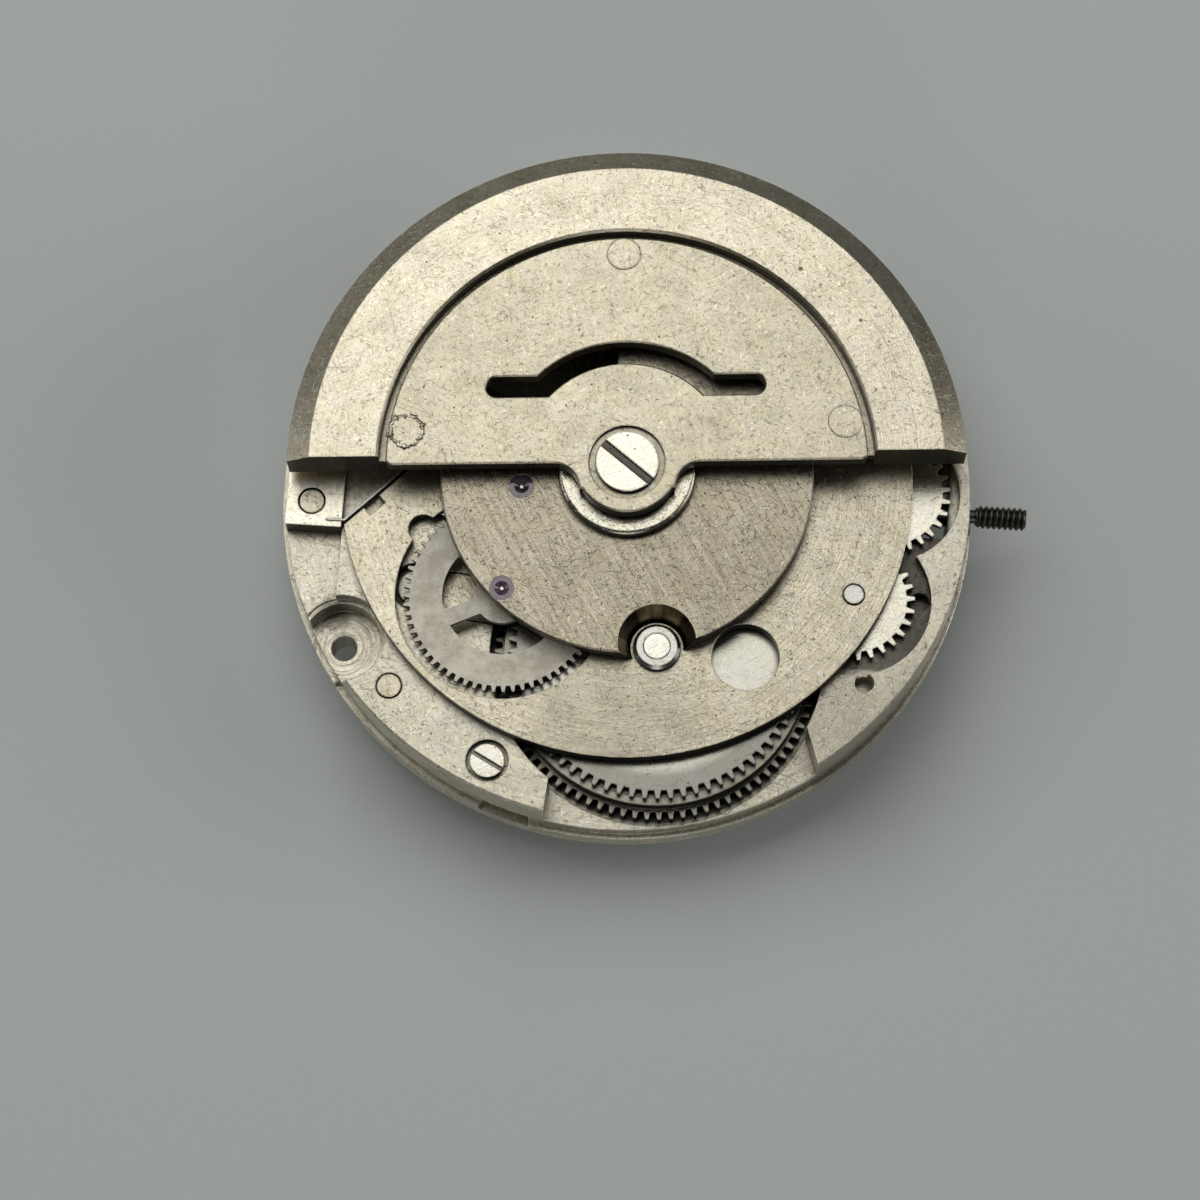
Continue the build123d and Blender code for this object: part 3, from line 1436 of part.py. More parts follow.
# Stem and keyless works, in the pushed-in position
stem_square = 0.5
stem_round_r = 0.38
stem_groove_r = 0.25
stem_hub_r = 0.44
thread_r = 0.43
thread_core_r = 0.33
thread_pitch = 0.21
thread_crest_w = 0.05
relief_r = 0.26
relief_x = 12.58
stem_tip_x = 5.8
square_x = 7.4
round_x = 10.25
groove_x = 11.1
hub_x = 11.4
thread_x = 13.1
thread_turns = 9
winding_in = 10.32
winding_out = 10.92
clutch_in = 8.0
clutch_out = 10.2
clutch_r = 0.85
clutch_groove_in = 8.9
clutch_groove_w = 0.25
clutch_groove_r = 0.55
drive_teeth = 8
drive_tooth_r = 0.55
drive_tooth_w = 0.14
drive_tooth_h = 0.1
stem_turn_plane = dict(x_dir=(0, 1, 0), z_dir=(1, 0, 0))


def square_rod(side, start, end, mode=Mode.ADD):
    with BuildSketch(Plane(origin=(start, 0, stem_z), **stem_turn_plane)) as outline:
        Rectangle(side, side)
    extrude(outline.sketch, amount=end - start, mode=mode)


def face_teeth_at(start, turn, length, mode=Mode.ADD):
    with BuildSketch(Plane(origin=(start, 0, stem_z), **stem_turn_plane)) as outline:
        with PolarLocations(drive_tooth_r, drive_teeth, start_angle=turn):
            Rectangle(2 * drive_tooth_w, drive_tooth_w)
    extrude(outline.sketch, amount=length, mode=mode)


with BuildPart() as stem:
    rod(stem_pilot_r - running, stem_tip_x, square_x)
    square_rod(stem_square, square_x, round_x)
    rod(stem_round_r, round_x, groove_x)
    rod(stem_groove_r, groove_x, hub_x)
    rod(stem_hub_r, hub_x, relief_x)
    rod(relief_r, relief_x, thread_x)
    # thread: a row of ridges with slanted flanks
    crests = [thread_x + (turn + 0.5) * thread_pitch for turn in range(thread_turns)]
    outline = [(thread_x, 0.0), (thread_x, thread_core_r)]
    for crest_x in crests:
        outline += [
            (crest_x - thread_crest_w / 2, thread_r),
            (crest_x + thread_crest_w / 2, thread_r),
            (crest_x + thread_pitch / 2, thread_core_r),
        ]
    outline.append((crests[-1] + thread_pitch / 2, 0.0))
    with BuildSketch(Plane(origin=(0, 0, stem_z), x_dir=(1, 0, 0), z_dir=(0, -1, 0))):
        with BuildLine():
            Polyline(*outline, close=True)
        make_face()
    revolve(axis=Axis((0, 0, stem_z), (1, 0, 0)))
keep(stem, "stem")

with BuildPart() as winding_pinion:
    with BuildSketch(Plane(origin=(winding_in, 0, stem_z), **stem_turn_plane)):
        toothed_face(winding_gear)
        Circle(stem_round_r + running, mode=Mode.SUBTRACT)
    extrude(amount=winding_out - winding_in)
    face_teeth_at(winding_in, 180 / drive_teeth, -drive_tooth_h)
keep(winding_pinion, "winding_pinion")

with BuildPart() as sliding_clutch:
    rod(clutch_r, clutch_in, clutch_groove_in)
    rod(clutch_groove_r, clutch_groove_in, clutch_groove_in + clutch_groove_w)
    rod(clutch_r, clutch_groove_in + clutch_groove_w, clutch_out)
    square_rod(stem_square + 2 * running, clutch_in, clutch_out, Mode.SUBTRACT)
    face_teeth_at(clutch_out, 0, drive_tooth_h)
    face_teeth_at(clutch_in, 0, -drive_tooth_h)
keep(sliding_clutch, "sliding_clutch")

keyless_z = 0.45
keyless_t = 0.2
lever_pin_r = 0.1
lever_pin_at = ((groove_x + hub_x) / 2, 0.0)
lever_pin_gap = 0.08
lever_pin_top = stem_z - stem_groove_r - lever_pin_gap
yoke_pin_y = 0.35
yoke_pin_at = (clutch_groove_in + clutch_groove_w / 2, yoke_pin_y)
yoke_pin_top = 1.07
keyless_arm_w = 0.44
keyless_eye_r = 0.5

for name, pivot, pin, pin_top in (
    ("setting_lever", setting_pivot_at, lever_pin_at, lever_pin_top),
    ("yoke", yoke_pivot_at, yoke_pin_at, yoke_pin_top),
):
    with BuildPart() as lever:
        with BuildSketch(level(axis, keyless_z)):
            slot_face(pivot, pin, keyless_arm_w)
            with Locations(pivot):
                Circle(keyless_eye_r)
                Circle(keyless_post_r + running, mode=Mode.SUBTRACT)
        extrude(amount=keyless_t)
        post(pin, lever_pin_r, keyless_z + keyless_t, pin_top)
    keep(lever, name)

# Fastenings
bridge_screw_low = floor_z + screw_r
pallet_head_share = 1.3
pallet_head_h = screw_head_h / 3
with BuildPart() as bridge_screws:
    for place, turn in zip(bridge_screws_at, (20, 75, -40)):
        screw(place, bridge_top, screw_head_r, screw_head_h, screw_r, bridge_screw_low, turn)
    for place, turn in zip(auto_screws_at, (-15, 50)):
        screw(place, auto_top, screw_head_r, screw_head_h, screw_r, bridge_z, turn)
    screw(cock_foot_at, cock_z + cock_t, screw_head_r, screw_head_h, screw_r, bridge_screw_low, 10)
    pallet_top = pallet_bridge_z + pallet_bridge_t
    pallet_head_r = pallet_head_share * screw_r
    screw(pallet_foot_at, pallet_top + pallet_head_h, pallet_head_r, pallet_head_h, screw_r / 2, floor_z, 35)
    cock_top = reduction_cock_z + reduction_cock_t
    screw(reduction_foot_at, cock_top + screw_head_h, screw_head_r, screw_head_h, screw_r, floor_z, 60)
    for place, turn in zip(foot_screws_at, (-28.0, 110.0)):
        screw(place, rim_top - running, screw_head_r, screw_head_h - running, screw_r, foot_bore_h + clear, turn)
keep(bridge_screws, "bridge_screws")

with BuildPart() as locating_pins:
    post(steady_at, steady_r, floor_z, rim_top + running)
    post(block_pin_at, block_pin_r, floor_z, block_top - lift)
keep(locating_pins, "locating_pins")
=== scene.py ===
import math

import bpy
import numpy as np
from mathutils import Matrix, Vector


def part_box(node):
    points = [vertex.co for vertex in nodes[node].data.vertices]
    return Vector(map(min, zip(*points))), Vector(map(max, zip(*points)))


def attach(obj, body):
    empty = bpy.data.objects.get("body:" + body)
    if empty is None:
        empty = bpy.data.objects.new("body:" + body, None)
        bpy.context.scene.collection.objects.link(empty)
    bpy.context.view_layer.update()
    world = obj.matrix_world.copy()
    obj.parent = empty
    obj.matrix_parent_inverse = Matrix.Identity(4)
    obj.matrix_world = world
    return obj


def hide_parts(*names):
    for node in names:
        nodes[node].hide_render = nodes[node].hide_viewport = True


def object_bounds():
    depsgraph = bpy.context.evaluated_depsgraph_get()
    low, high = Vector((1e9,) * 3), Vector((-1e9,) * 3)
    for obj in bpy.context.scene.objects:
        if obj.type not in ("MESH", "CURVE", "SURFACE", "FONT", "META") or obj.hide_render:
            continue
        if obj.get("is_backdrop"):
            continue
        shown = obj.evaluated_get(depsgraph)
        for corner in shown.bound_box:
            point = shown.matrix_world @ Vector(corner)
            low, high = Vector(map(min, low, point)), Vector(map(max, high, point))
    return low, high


# An automatic watch movement lying with its dial side down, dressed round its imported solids.
# Lengths in the dictionaries are millimetres, and become metres as a mesh is made.
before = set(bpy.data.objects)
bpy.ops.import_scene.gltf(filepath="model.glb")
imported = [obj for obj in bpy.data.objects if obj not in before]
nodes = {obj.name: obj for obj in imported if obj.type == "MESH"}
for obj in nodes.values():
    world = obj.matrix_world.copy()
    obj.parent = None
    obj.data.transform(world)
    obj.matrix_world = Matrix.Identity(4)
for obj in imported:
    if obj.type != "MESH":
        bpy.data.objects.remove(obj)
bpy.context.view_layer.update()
mm = 0.001
micron = 1e-6
print("frame loaded:", len(nodes), "solids")


def linked(name, data):  # a new object in the scene
    made = bpy.data.objects.new(name, data)
    bpy.context.scene.collection.objects.link(made)
    return made


# The camera: it looks at the middle of the rotor's top, a little to the right of six o'clock.
camera = {
    "aim": (0.0, 0.0, 5.7),
    "distance": 130.0,
    "azimuth": 3.6,
    "elevation": 71.3,
    "focal": 106.67,
    "sensor": 36.0,
    "shift": (-0.0225, -0.1154),
    "clip": (0.005, 20.0),  # metres
}


def makeCamera(look):
    turn, rise = math.radians(look["azimuth"]), math.radians(look["elevation"])
    flat = math.cos(rise)
    back = np.array([math.sin(turn) * flat, -math.cos(turn) * flat, math.sin(rise)])
    data = bpy.data.cameras.new("camera")
    data.lens, data.sensor_width = look["focal"], look["sensor"]
    data.shift_x, data.shift_y = look["shift"]
    data.clip_start, data.clip_end = look["clip"]
    data.dof.use_dof = False
    made = linked("camera", data)
    made.location = (np.array(look["aim"]) + look["distance"] * back) * mm
    made.rotation_euler = (math.pi / 2 - rise, 0.0, turn)
    bpy.context.scene.camera = made


makeCamera(camera)
bpy.context.scene.view_settings.view_transform = "Standard"


# One socket of a material: operators on wires and numbers add Math nodes.
class Wire:
    def __init__(self, tree, socket):
        self.tree, self.socket = tree, socket

    def node(self, kind, settings, sockets, out=0):  # any other node: its settings first, then its sockets
        made = self.tree.nodes.new(kind)
        for name, value in settings.items():
            setattr(made, name, value)
        for name, value in sockets.items():
            if isinstance(value, Wire):
                self.tree.links.new(value.socket, made.inputs[name])
            else:
                made.inputs[name].default_value = value
        return Wire(self.tree, made.outputs[out])

    def math(self, operation, *values):
        return self.node("ShaderNodeMath", {"operation": operation}, dict(enumerate(values)))

    def __add__(self, other):
        return self.math("ADD", self, other)

    def __sub__(self, other):
        return self.math("SUBTRACT", self, other)

    def __rsub__(self, other):
        return self.math("SUBTRACT", other, self)

    def __mul__(self, other):
        return self.math("MULTIPLY", self, other)

    def __truediv__(self, other):
        return self.math("DIVIDE", self, other)

    def __pow__(self, other):
        return self.math("POWER", self, other)

    def __abs__(self):
        return self.math("ABSOLUTE", self)

    __radd__, __rmul__ = __add__, __mul__

    def step(self, low, high):  # 0 at low to 1 at high, smoothly
        settings = {"interpolation_type": "SMOOTHSTEP"}
        return self.node("ShaderNodeMapRange", settings, {0: self, 1: low, 2: high})

    def vector(self, operation, other, out=0):
        return self.node("ShaderNodeVectorMath", {"operation": operation}, {0: self, 1: other}, out)

    def parts(self):
        made = self.tree.nodes.new("ShaderNodeSeparateXYZ")
        self.tree.links.new(self.socket, made.inputs[0])
        return [Wire(self.tree, socket) for socket in made.outputs]

    def joined(self, x, y, z):
        return self.node("ShaderNodeCombineXYZ", {}, {0: x, 1: y, 2: z})

    def noise(self, scale, detail=3.0, roughness=0.55, distortion=0.0):
        sockets = {"Scale": scale, "Detail": detail, "Roughness": roughness, "Distortion": distortion}
        return self.node("ShaderNodeTexNoise", {}, {"Vector": self, **sockets})

    def cells(self, scale, out):  # Voronoi: the distance to the nearest point, or a colour for each cell
        return self.node("ShaderNodeTexVoronoi", {}, {"Vector": self, "Scale": scale}, out)

    def openness(self, reach, samples=6):  # 1 in the open to 0 in a corner, within a reach in millimetres
        return self.node("ShaderNodeAmbientOcclusion", {"samples": samples}, {"Distance": reach * mm}, "AO")

    def facing(self):  # how far the surface faces up or down
        return abs(self.node("ShaderNodeTexCoord", {}, {}, "Normal").parts()[2])

    def tinted(self, strength):  # a colour made lighter or darker
        return self.node("ShaderNodeVectorMath", {"operation": "SCALE"}, {0: self, "Scale": strength})

    def blended(self, first, second):  # this wire mixes two colours
        sockets = {0: self, 6: colour(first), 7: colour(second)}
        return self.node("ShaderNodeMix", {"data_type": "RGBA"}, sockets, 2)

    def bump(self, height, relief, strength=1.0, **normal):  # relief in micrometres
        sockets = {"Strength": strength, "Distance": relief * micron, "Height": height}
        return self.node("ShaderNodeBump", {}, {**sockets, **normal})


def colour(value):
    return (*value, 1.0) if isinstance(value, tuple) else value


def newMaterial(name):
    made = bpy.data.materials.new(name)
    made.use_nodes = True
    tree = made.node_tree
    coordinates = tree.nodes.new("ShaderNodeTexCoord")
    place = Wire(tree, coordinates.outputs["Object"]).tinted(1 / mm)  # millimetres on the piece
    return made, tree.nodes["Principled BSDF"], place


def plug(shader, name, value):
    socket = shader.inputs[name]
    if isinstance(value, Wire):
        value.tree.links.new(value.socket, socket)
    else:
        socket.default_value = colour(value)


# The two offsets from an upright axis, and the distance from it.
def fromAxis(x, y, axisX, axisY):
    a, b = x - axisX, y - axisY
    return a, b, (a * a + b * b) ** 0.5


# What a machined face is unless its own dictionary says otherwise. Scales are patterns a millimetre.
plainMetal = {
    "light": (0.62, 0.573, 0.447),
    "dark": (0.25, 0.228, 0.17),
    "warm": (1.0, 0.98, 0.91),
    "paintedWallLight": 0.24,  # how light the upright walls are painted: painted light and shade
    "clouds": 0.8,
    "mottle": 7.5,
    "contrast": 0.21,  # half the width of the noise that runs from dark to light
    "flecks": 0.34,  # short bent marks, some lighter and some darker
    "grain": "none",  # none, straight or turned
    "grainAngle": 0.0,
    "grainScale": 16.0,
    "grainDepth": 0.15,
    "centre": (0.0, 0.0),
    "specks": 0.16,
    "scratches": 0.35,
    "rough": (0.24, 0.40),
    "relief": 4.0,  # micrometres
    "edge": 0.06,  # how far an edge is rounded, in millimetres
    "edgeWearAndHighlight": 1.1,  # how much lighter a rounded edge is painted, as wear and as a painted highlight
    "soilAndShadeReach": 0.30,  # how far dirt and painted shade reach out of a corner, in millimetres
    "soilAndShadeDepth": 0.8,
    "stains": (),  # x, y, size, depth, tint
    "rings": (),  # radius, width, depth
    "darkRim": (),  # x, y, the radii that the dark rim of a wheel begins between, and depth
    "spots": (),  # x, y, radius and depth of a turned spot
    "cone": (),  # x, y and radius of a turned countersink, painted with shade and glints
    "shadedSlots": (),  # heights of the heads whose slots are painted dark, as shade
    "slotShadeTone": 0.10,
    "sunk": (),  # height, depth, the box of a floor painted darker as oil and as shade, and the radius it ends at
    "wells": (),  # height, depth, x, y and the two radii of a floor round a wheel painted darker as oil and as shade
    "oilAndShadeLow": 1.2,  # no oil or painted shade shows below this height, so the dial side stays clean
    "metallic": 1.0,
}

# How every metal's patterns are mixed, whatever its own dictionary says.
metalMix = {
    "shares": (0.22, 0.40, 0.38),  # of clouds, mottle and fine noise in the tone
    "fine": 3.7,  # the fine noise's scale, in mottles
    "hue": 1.6,  # the warm patches' scale, in clouds
    "hueShift": (9.0, 4.0, 2.0),
    "hueEdge": (0.36, 0.64),
    "fineTone": (0.90, 0.20),
    "heightShares": (0.4, 0.6),
    "grainTone": 2.6,
    "grainHeight": (0.4, 1.8),
    "speckCells": 3.4,
    "speckShift": (0.0, 3.0, 0.0),
    "speckEdge": (0.06, 0.17),
    "speckDark": 0.62,
    "scratchDark": 0.4,
    "slotMiddle": 0.16,  # below the head's top
    "slotEdge": (0.125, 0.145),
    "lyingFlat": (0.45, 0.85),
    "edgeWearAndSheen": (0.02, 0.22),
    "edgeWearAndSheenPatches": (0.34, 0.56),
    "soilAndShade": (0.12, 0.85),
}


# Streaks along the grain: noise squeezed across it and drawn out along it. Turned grain reads the radius, and
# the place itself only slowly, so that a streak ends after a while and no seam shows.
def grainOf(place, look):
    x, y, z = place.parts()
    scale = look["grainScale"]
    if look["grain"] == "straight":
        turn = math.radians(look["grainAngle"])
        along = x * math.cos(turn) + y * math.sin(turn)
        across = y * math.cos(turn) - x * math.sin(turn)
        streaks = place.joined(along * 0.25, across * scale, z * 3.0)
    else:
        a, b, radius = fromAxis(x, y, *look["centre"])
        streaks = place.joined(radius * scale, a * 0.45, b * 0.45 + z * scale)
    return streaks.noise(1.0, detail=5.0, roughness=0.75)


scratchForm = {
    "bearings": ((0.5, 3.0), (1.9, 17.0), (2.8, 31.0)),  # radians, and a shift that makes each one its own
    "along": 0.22,
    "across": 2.6,
    "width": 0.005,  # of the noise's height
    "patches": (0.48, 0.60),
}


# Hair scratches: a thin slice of noise drawn out along one bearing, for each of three bearings.
def scratchesOf(place, amount):
    form = scratchForm
    x, y, z = place.parts()
    total = 0.0
    for turn, shift in form["bearings"]:
        along = x * math.cos(turn) + y * math.sin(turn) + shift
        across = y * math.cos(turn) - x * math.sin(turn)
        drawn = place.joined(along * form["along"], across * form["across"], shift)
        line = 1.0 - abs(drawn.noise(1.0, detail=1.0, roughness=0.4) - 0.5).step(0.0, form["width"])
        total = total + line * place.noise(0.35 + 0.1 * turn, detail=1.0).step(*form["patches"])
    return total * amount


markForm = {
    "shifts": (0.0, 21.0, 7.0, 33.0),  # the first two are lighter and the others darker
    "bend": 2.4,
    "line": (0.006, 0.024),
    "breaks": 5.5,
    "kept": (0.52, 0.58),
}


# Short bent marks: the thin line where a slow noise crosses its middle, kept where a finer noise is high.
def marksOf(place, shift):
    moved = place.vector("ADD", (shift, 2 * shift, 0.0))
    slow = moved.noise(markForm["bend"], detail=1.0, roughness=0.5, distortion=0.6)
    line = 1.0 - abs(slow - 0.5).step(*markForm["line"])
    return line * moved.noise(markForm["breaks"], detail=1.0, roughness=0.5).step(*markForm["kept"])


# Plating: slow clouds, a mottle and a fine noise run from the dark tone to the light one, with warm patches.
def platingOf(place, look):
    clouds = place.noise(look["clouds"], detail=4.0, roughness=0.6)
    mottle = place.noise(look["mottle"], detail=6.0, roughness=0.72, distortion=0.8)
    fine = place.noise(look["mottle"] * metalMix["fine"], detail=4.0, roughness=0.75, distortion=0.5)
    cloudShare, mottleShare, fineShare = metalMix["shares"]
    blend = clouds * cloudShare + mottle * mottleShare + fine * fineShare
    shade = blend.step(0.5 - look["contrast"], 0.5 + look["contrast"])
    moved = place.vector("ADD", metalMix["hueShift"])
    hue = moved.noise(look["clouds"] * metalMix["hue"], detail=4.0, roughness=0.65).step(*metalMix["hueEdge"])
    warm = hue.blended((1.0, 1.0, 1.0), look["warm"])
    return warm.vector("MULTIPLY", shade.blended(look["dark"], look["light"])), mottle, fine


# Turned lines, turned spots and a wheel's face darker from a radius outwards, each a factor on the tone.
def turnedMarks(place, look, tone):
    x, y, z = place.parts()
    for radius, width, depth in look["rings"]:
        away = fromAxis(x, y, *look["centre"])[2]
        line = 1.0 - abs(away - radius).step(width * 0.4, width)
        tone = tone * (1.0 - line * depth)
    for spotX, spotY, size, depth in look["spots"]:
        a, b, away = fromAxis(x, y, spotX, spotY)
        turns = place.joined(away * 13.0, a * 0.8, b * 0.8).noise(1.0, detail=2.0, roughness=0.6)
        inside = 1.0 - away.step(size - 0.05, size)
        tone = tone * (1.0 + (turns.step(0.36, 0.64) - 0.6) * inside * depth)
    # The wheel's face is darker from one radius outwards.
    if look["darkRim"]:
        rimX, rimY, inner, outer, depth = look["darkRim"]
        tone = tone * (1.0 - fromAxis(x, y, rimX, rimY)[2].step(inner, outer) * depth)
    return tone


# Painted shade: dark slots, and floors below a height painted darker as oil and as shade: in a box, or in a
# ring round a wheel.
def sunkenMarks(place, look, tone):
    x, y, z = place.parts()
    bright = look["slotShadeTone"]
    above = z.step(look["oilAndShadeLow"] - 0.1, look["oilAndShadeLow"])
    # Slots painted dark, as shade in the recess.
    for top in look["shadedSlots"]:
        beside = abs(z - (top - metalMix["slotMiddle"])).step(*metalMix["slotEdge"])
        tone = tone * (bright + (1.0 - bright) * beside)
    # Floors below a height painted darker, as oil and as shade in the pockets.
    for floorTop, depth, west, south, east, north, outer in look["sunk"]:
        inside = x.step(west, west + 0.2) * (1.0 - x.step(east - 0.2, east))
        inside = inside * y.step(south, south + 0.2) * (1.0 - y.step(north - 0.2, north))
        inside = inside * (1.0 - fromAxis(x, y, 0.0, 0.0)[2].step(outer - 0.1, outer)) * above
        tone = tone * (1.0 - inside * (1.0 - z.step(floorTop - 0.06, floorTop)) * depth)
    for floorTop, depth, wellX, wellY, inner, outer in look["wells"]:
        away = fromAxis(x, y, wellX, wellY)[2]
        inside = away.step(inner - 0.15, inner) * (1.0 - away.step(outer - 0.1, outer + 0.1)) * above
        tone = tone * (1.0 - inside * (1.0 - z.step(floorTop - 0.06, floorTop)) * depth)
    return tone


# A turned countersink painted as a reflection: dark painted shade, with painted glints that run down its
# slope.
def coneOf(place, look, base, lean):
    coneX, coneY, size = look["cone"]
    x, y, z = place.parts()
    a, b, away = fromAxis(x, y, coneX, coneY)
    spread = 1.7
    glint = place.joined(a / away * spread, b / away * spread, 4.0).noise(1.0, detail=2.0, roughness=0.5)
    slanted = lean.step(0.15, 0.35) * (1.0 - lean.step(0.88, 0.96)) * (1.0 - away.step(size, size + 0.1))
    return slanted.blended(base, glint.step(0.52, 0.66).blended(coneShadeTone, coneGlintTone))


# A metal: plating, grain, turned lines, marks, pits, hair scratches, painted shade in slots and on oily
# floors, stains, then upright walls painted lighter or darker, edges painted lighter as wear and highlight,
# corners painted darker as dirt and shade.
def metalFinish(name, changes):
    look = {**plainMetal, **changes}
    mix = metalMix
    made, shader, place = newMaterial(name)
    base, mottle, fine = platingOf(place, look)
    tone = mix["fineTone"][0] + fine * mix["fineTone"][1]
    height = mottle * mix["heightShares"][0] + fine * mix["heightShares"][1]
    if look["grain"] != "none":
        grain = grainOf(place, look)
        tone = tone * (1.0 + (grain - 0.5) * (mix["grainTone"] * look["grainDepth"]))
        height = height * mix["grainHeight"][0] + grain * mix["grainHeight"][1]
    tone = turnedMarks(place, look, tone)
    marks = [marksOf(place, shift) for shift in markForm["shifts"]]
    fleck = marks[0] + marks[1] - marks[2] - marks[3]
    tone = tone * (1.0 + fleck * look["flecks"])
    dots = place.vector("ADD", mix["speckShift"])
    chosen = 1.0 - look["specks"]
    rare = dots.cells(mix["speckCells"], "Color").parts()[0].step(chosen - 0.02, chosen + 0.02)
    near = dots.cells(mix["speckCells"], "Distance") + (fine - 0.5) * 0.3
    speck = (1.0 - near.step(*mix["speckEdge"])) * rare
    scratch = scratchesOf(place, look["scratches"])
    tone = tone * (1.0 - speck * mix["speckDark"]) * (1.0 - scratch * mix["scratchDark"])
    base = base.tinted(sunkenMarks(place, look, tone))
    x, y, z = place.parts()
    for stainX, stainY, size, depth, tint in look["stains"]:
        away = fromAxis(x, y, stainX, stainY)[2] + (mottle - 0.5) * size
        base = ((1.0 - away.step(size * 0.3, size)) * depth).blended(base, tint)
    lean = place.facing()
    # Painted light and shade: upright walls painted lighter or darker than the faces that lie flat.
    base = base.tinted(look["paintedWallLight"] + lean.step(*mix["lyingFlat"]) * (1.0 - look["paintedWallLight"]))
    if look["cone"]:
        base = coneOf(place, look, base, lean)
    rounded = place.node("ShaderNodeBevel", {"samples": 4}, {"Radius": look["edge"] * mm})
    flat = place.node("ShaderNodeNewGeometry", {}, {}, "True Normal")
    turned = rounded.vector("DOT_PRODUCT", flat, "Value")
    # Rounded edges painted lighter, as wear and as a painted highlight.
    edgeWearAndSheen = (1.0 - turned).step(*mix["edgeWearAndSheen"]) * mottle.step(*mix["edgeWearAndSheenPatches"])
    # Corners painted darker from the ambient occlusion, as dirt and as painted shade.
    soilAndShade = (1.0 - place.openness(look["soilAndShadeReach"])).step(*mix["soilAndShade"]) * look["soilAndShadeDepth"]
    base = base.tinted((1.0 + edgeWearAndSheen * look["edgeWearAndHighlight"]) * (1.0 - soilAndShade))
    low, high = look["rough"]
    rough = low + (mottle * 0.5 + fine * 0.5) * (high - low) + scratch * 0.1 + speck * 0.2
    plug(shader, "Base Color", base)
    plug(shader, "Roughness", rough)
    plug(shader, "Metallic", look["metallic"])
    height = height + fleck * 0.5 - speck * 0.8 - scratch
    plug(shader, "Normal", place.bump(height, look["relief"], Normal=rounded))
    return made


steelTone = {
    "light": (0.60, 0.59, 0.54),
    "dark": (0.30, 0.29, 0.26),
    "warm": (1.0, 0.98, 0.93),
    "flecks": 0.14,
    "contrast": 0.25,
    "relief": 2.0,
}
brown = (0.20, 0.12, 0.06)
dark = (0.05, 0.04, 0.03)
# The countersink's painted shade and painted glint.
coneShadeTone = (0.035, 0.024, 0.014)
coneGlintTone = (0.22, 0.18, 0.10)
# A darker tint for large soft patches towards the south of the bridge and the plate.
southDarkTint = (0.24, 0.22, 0.17)

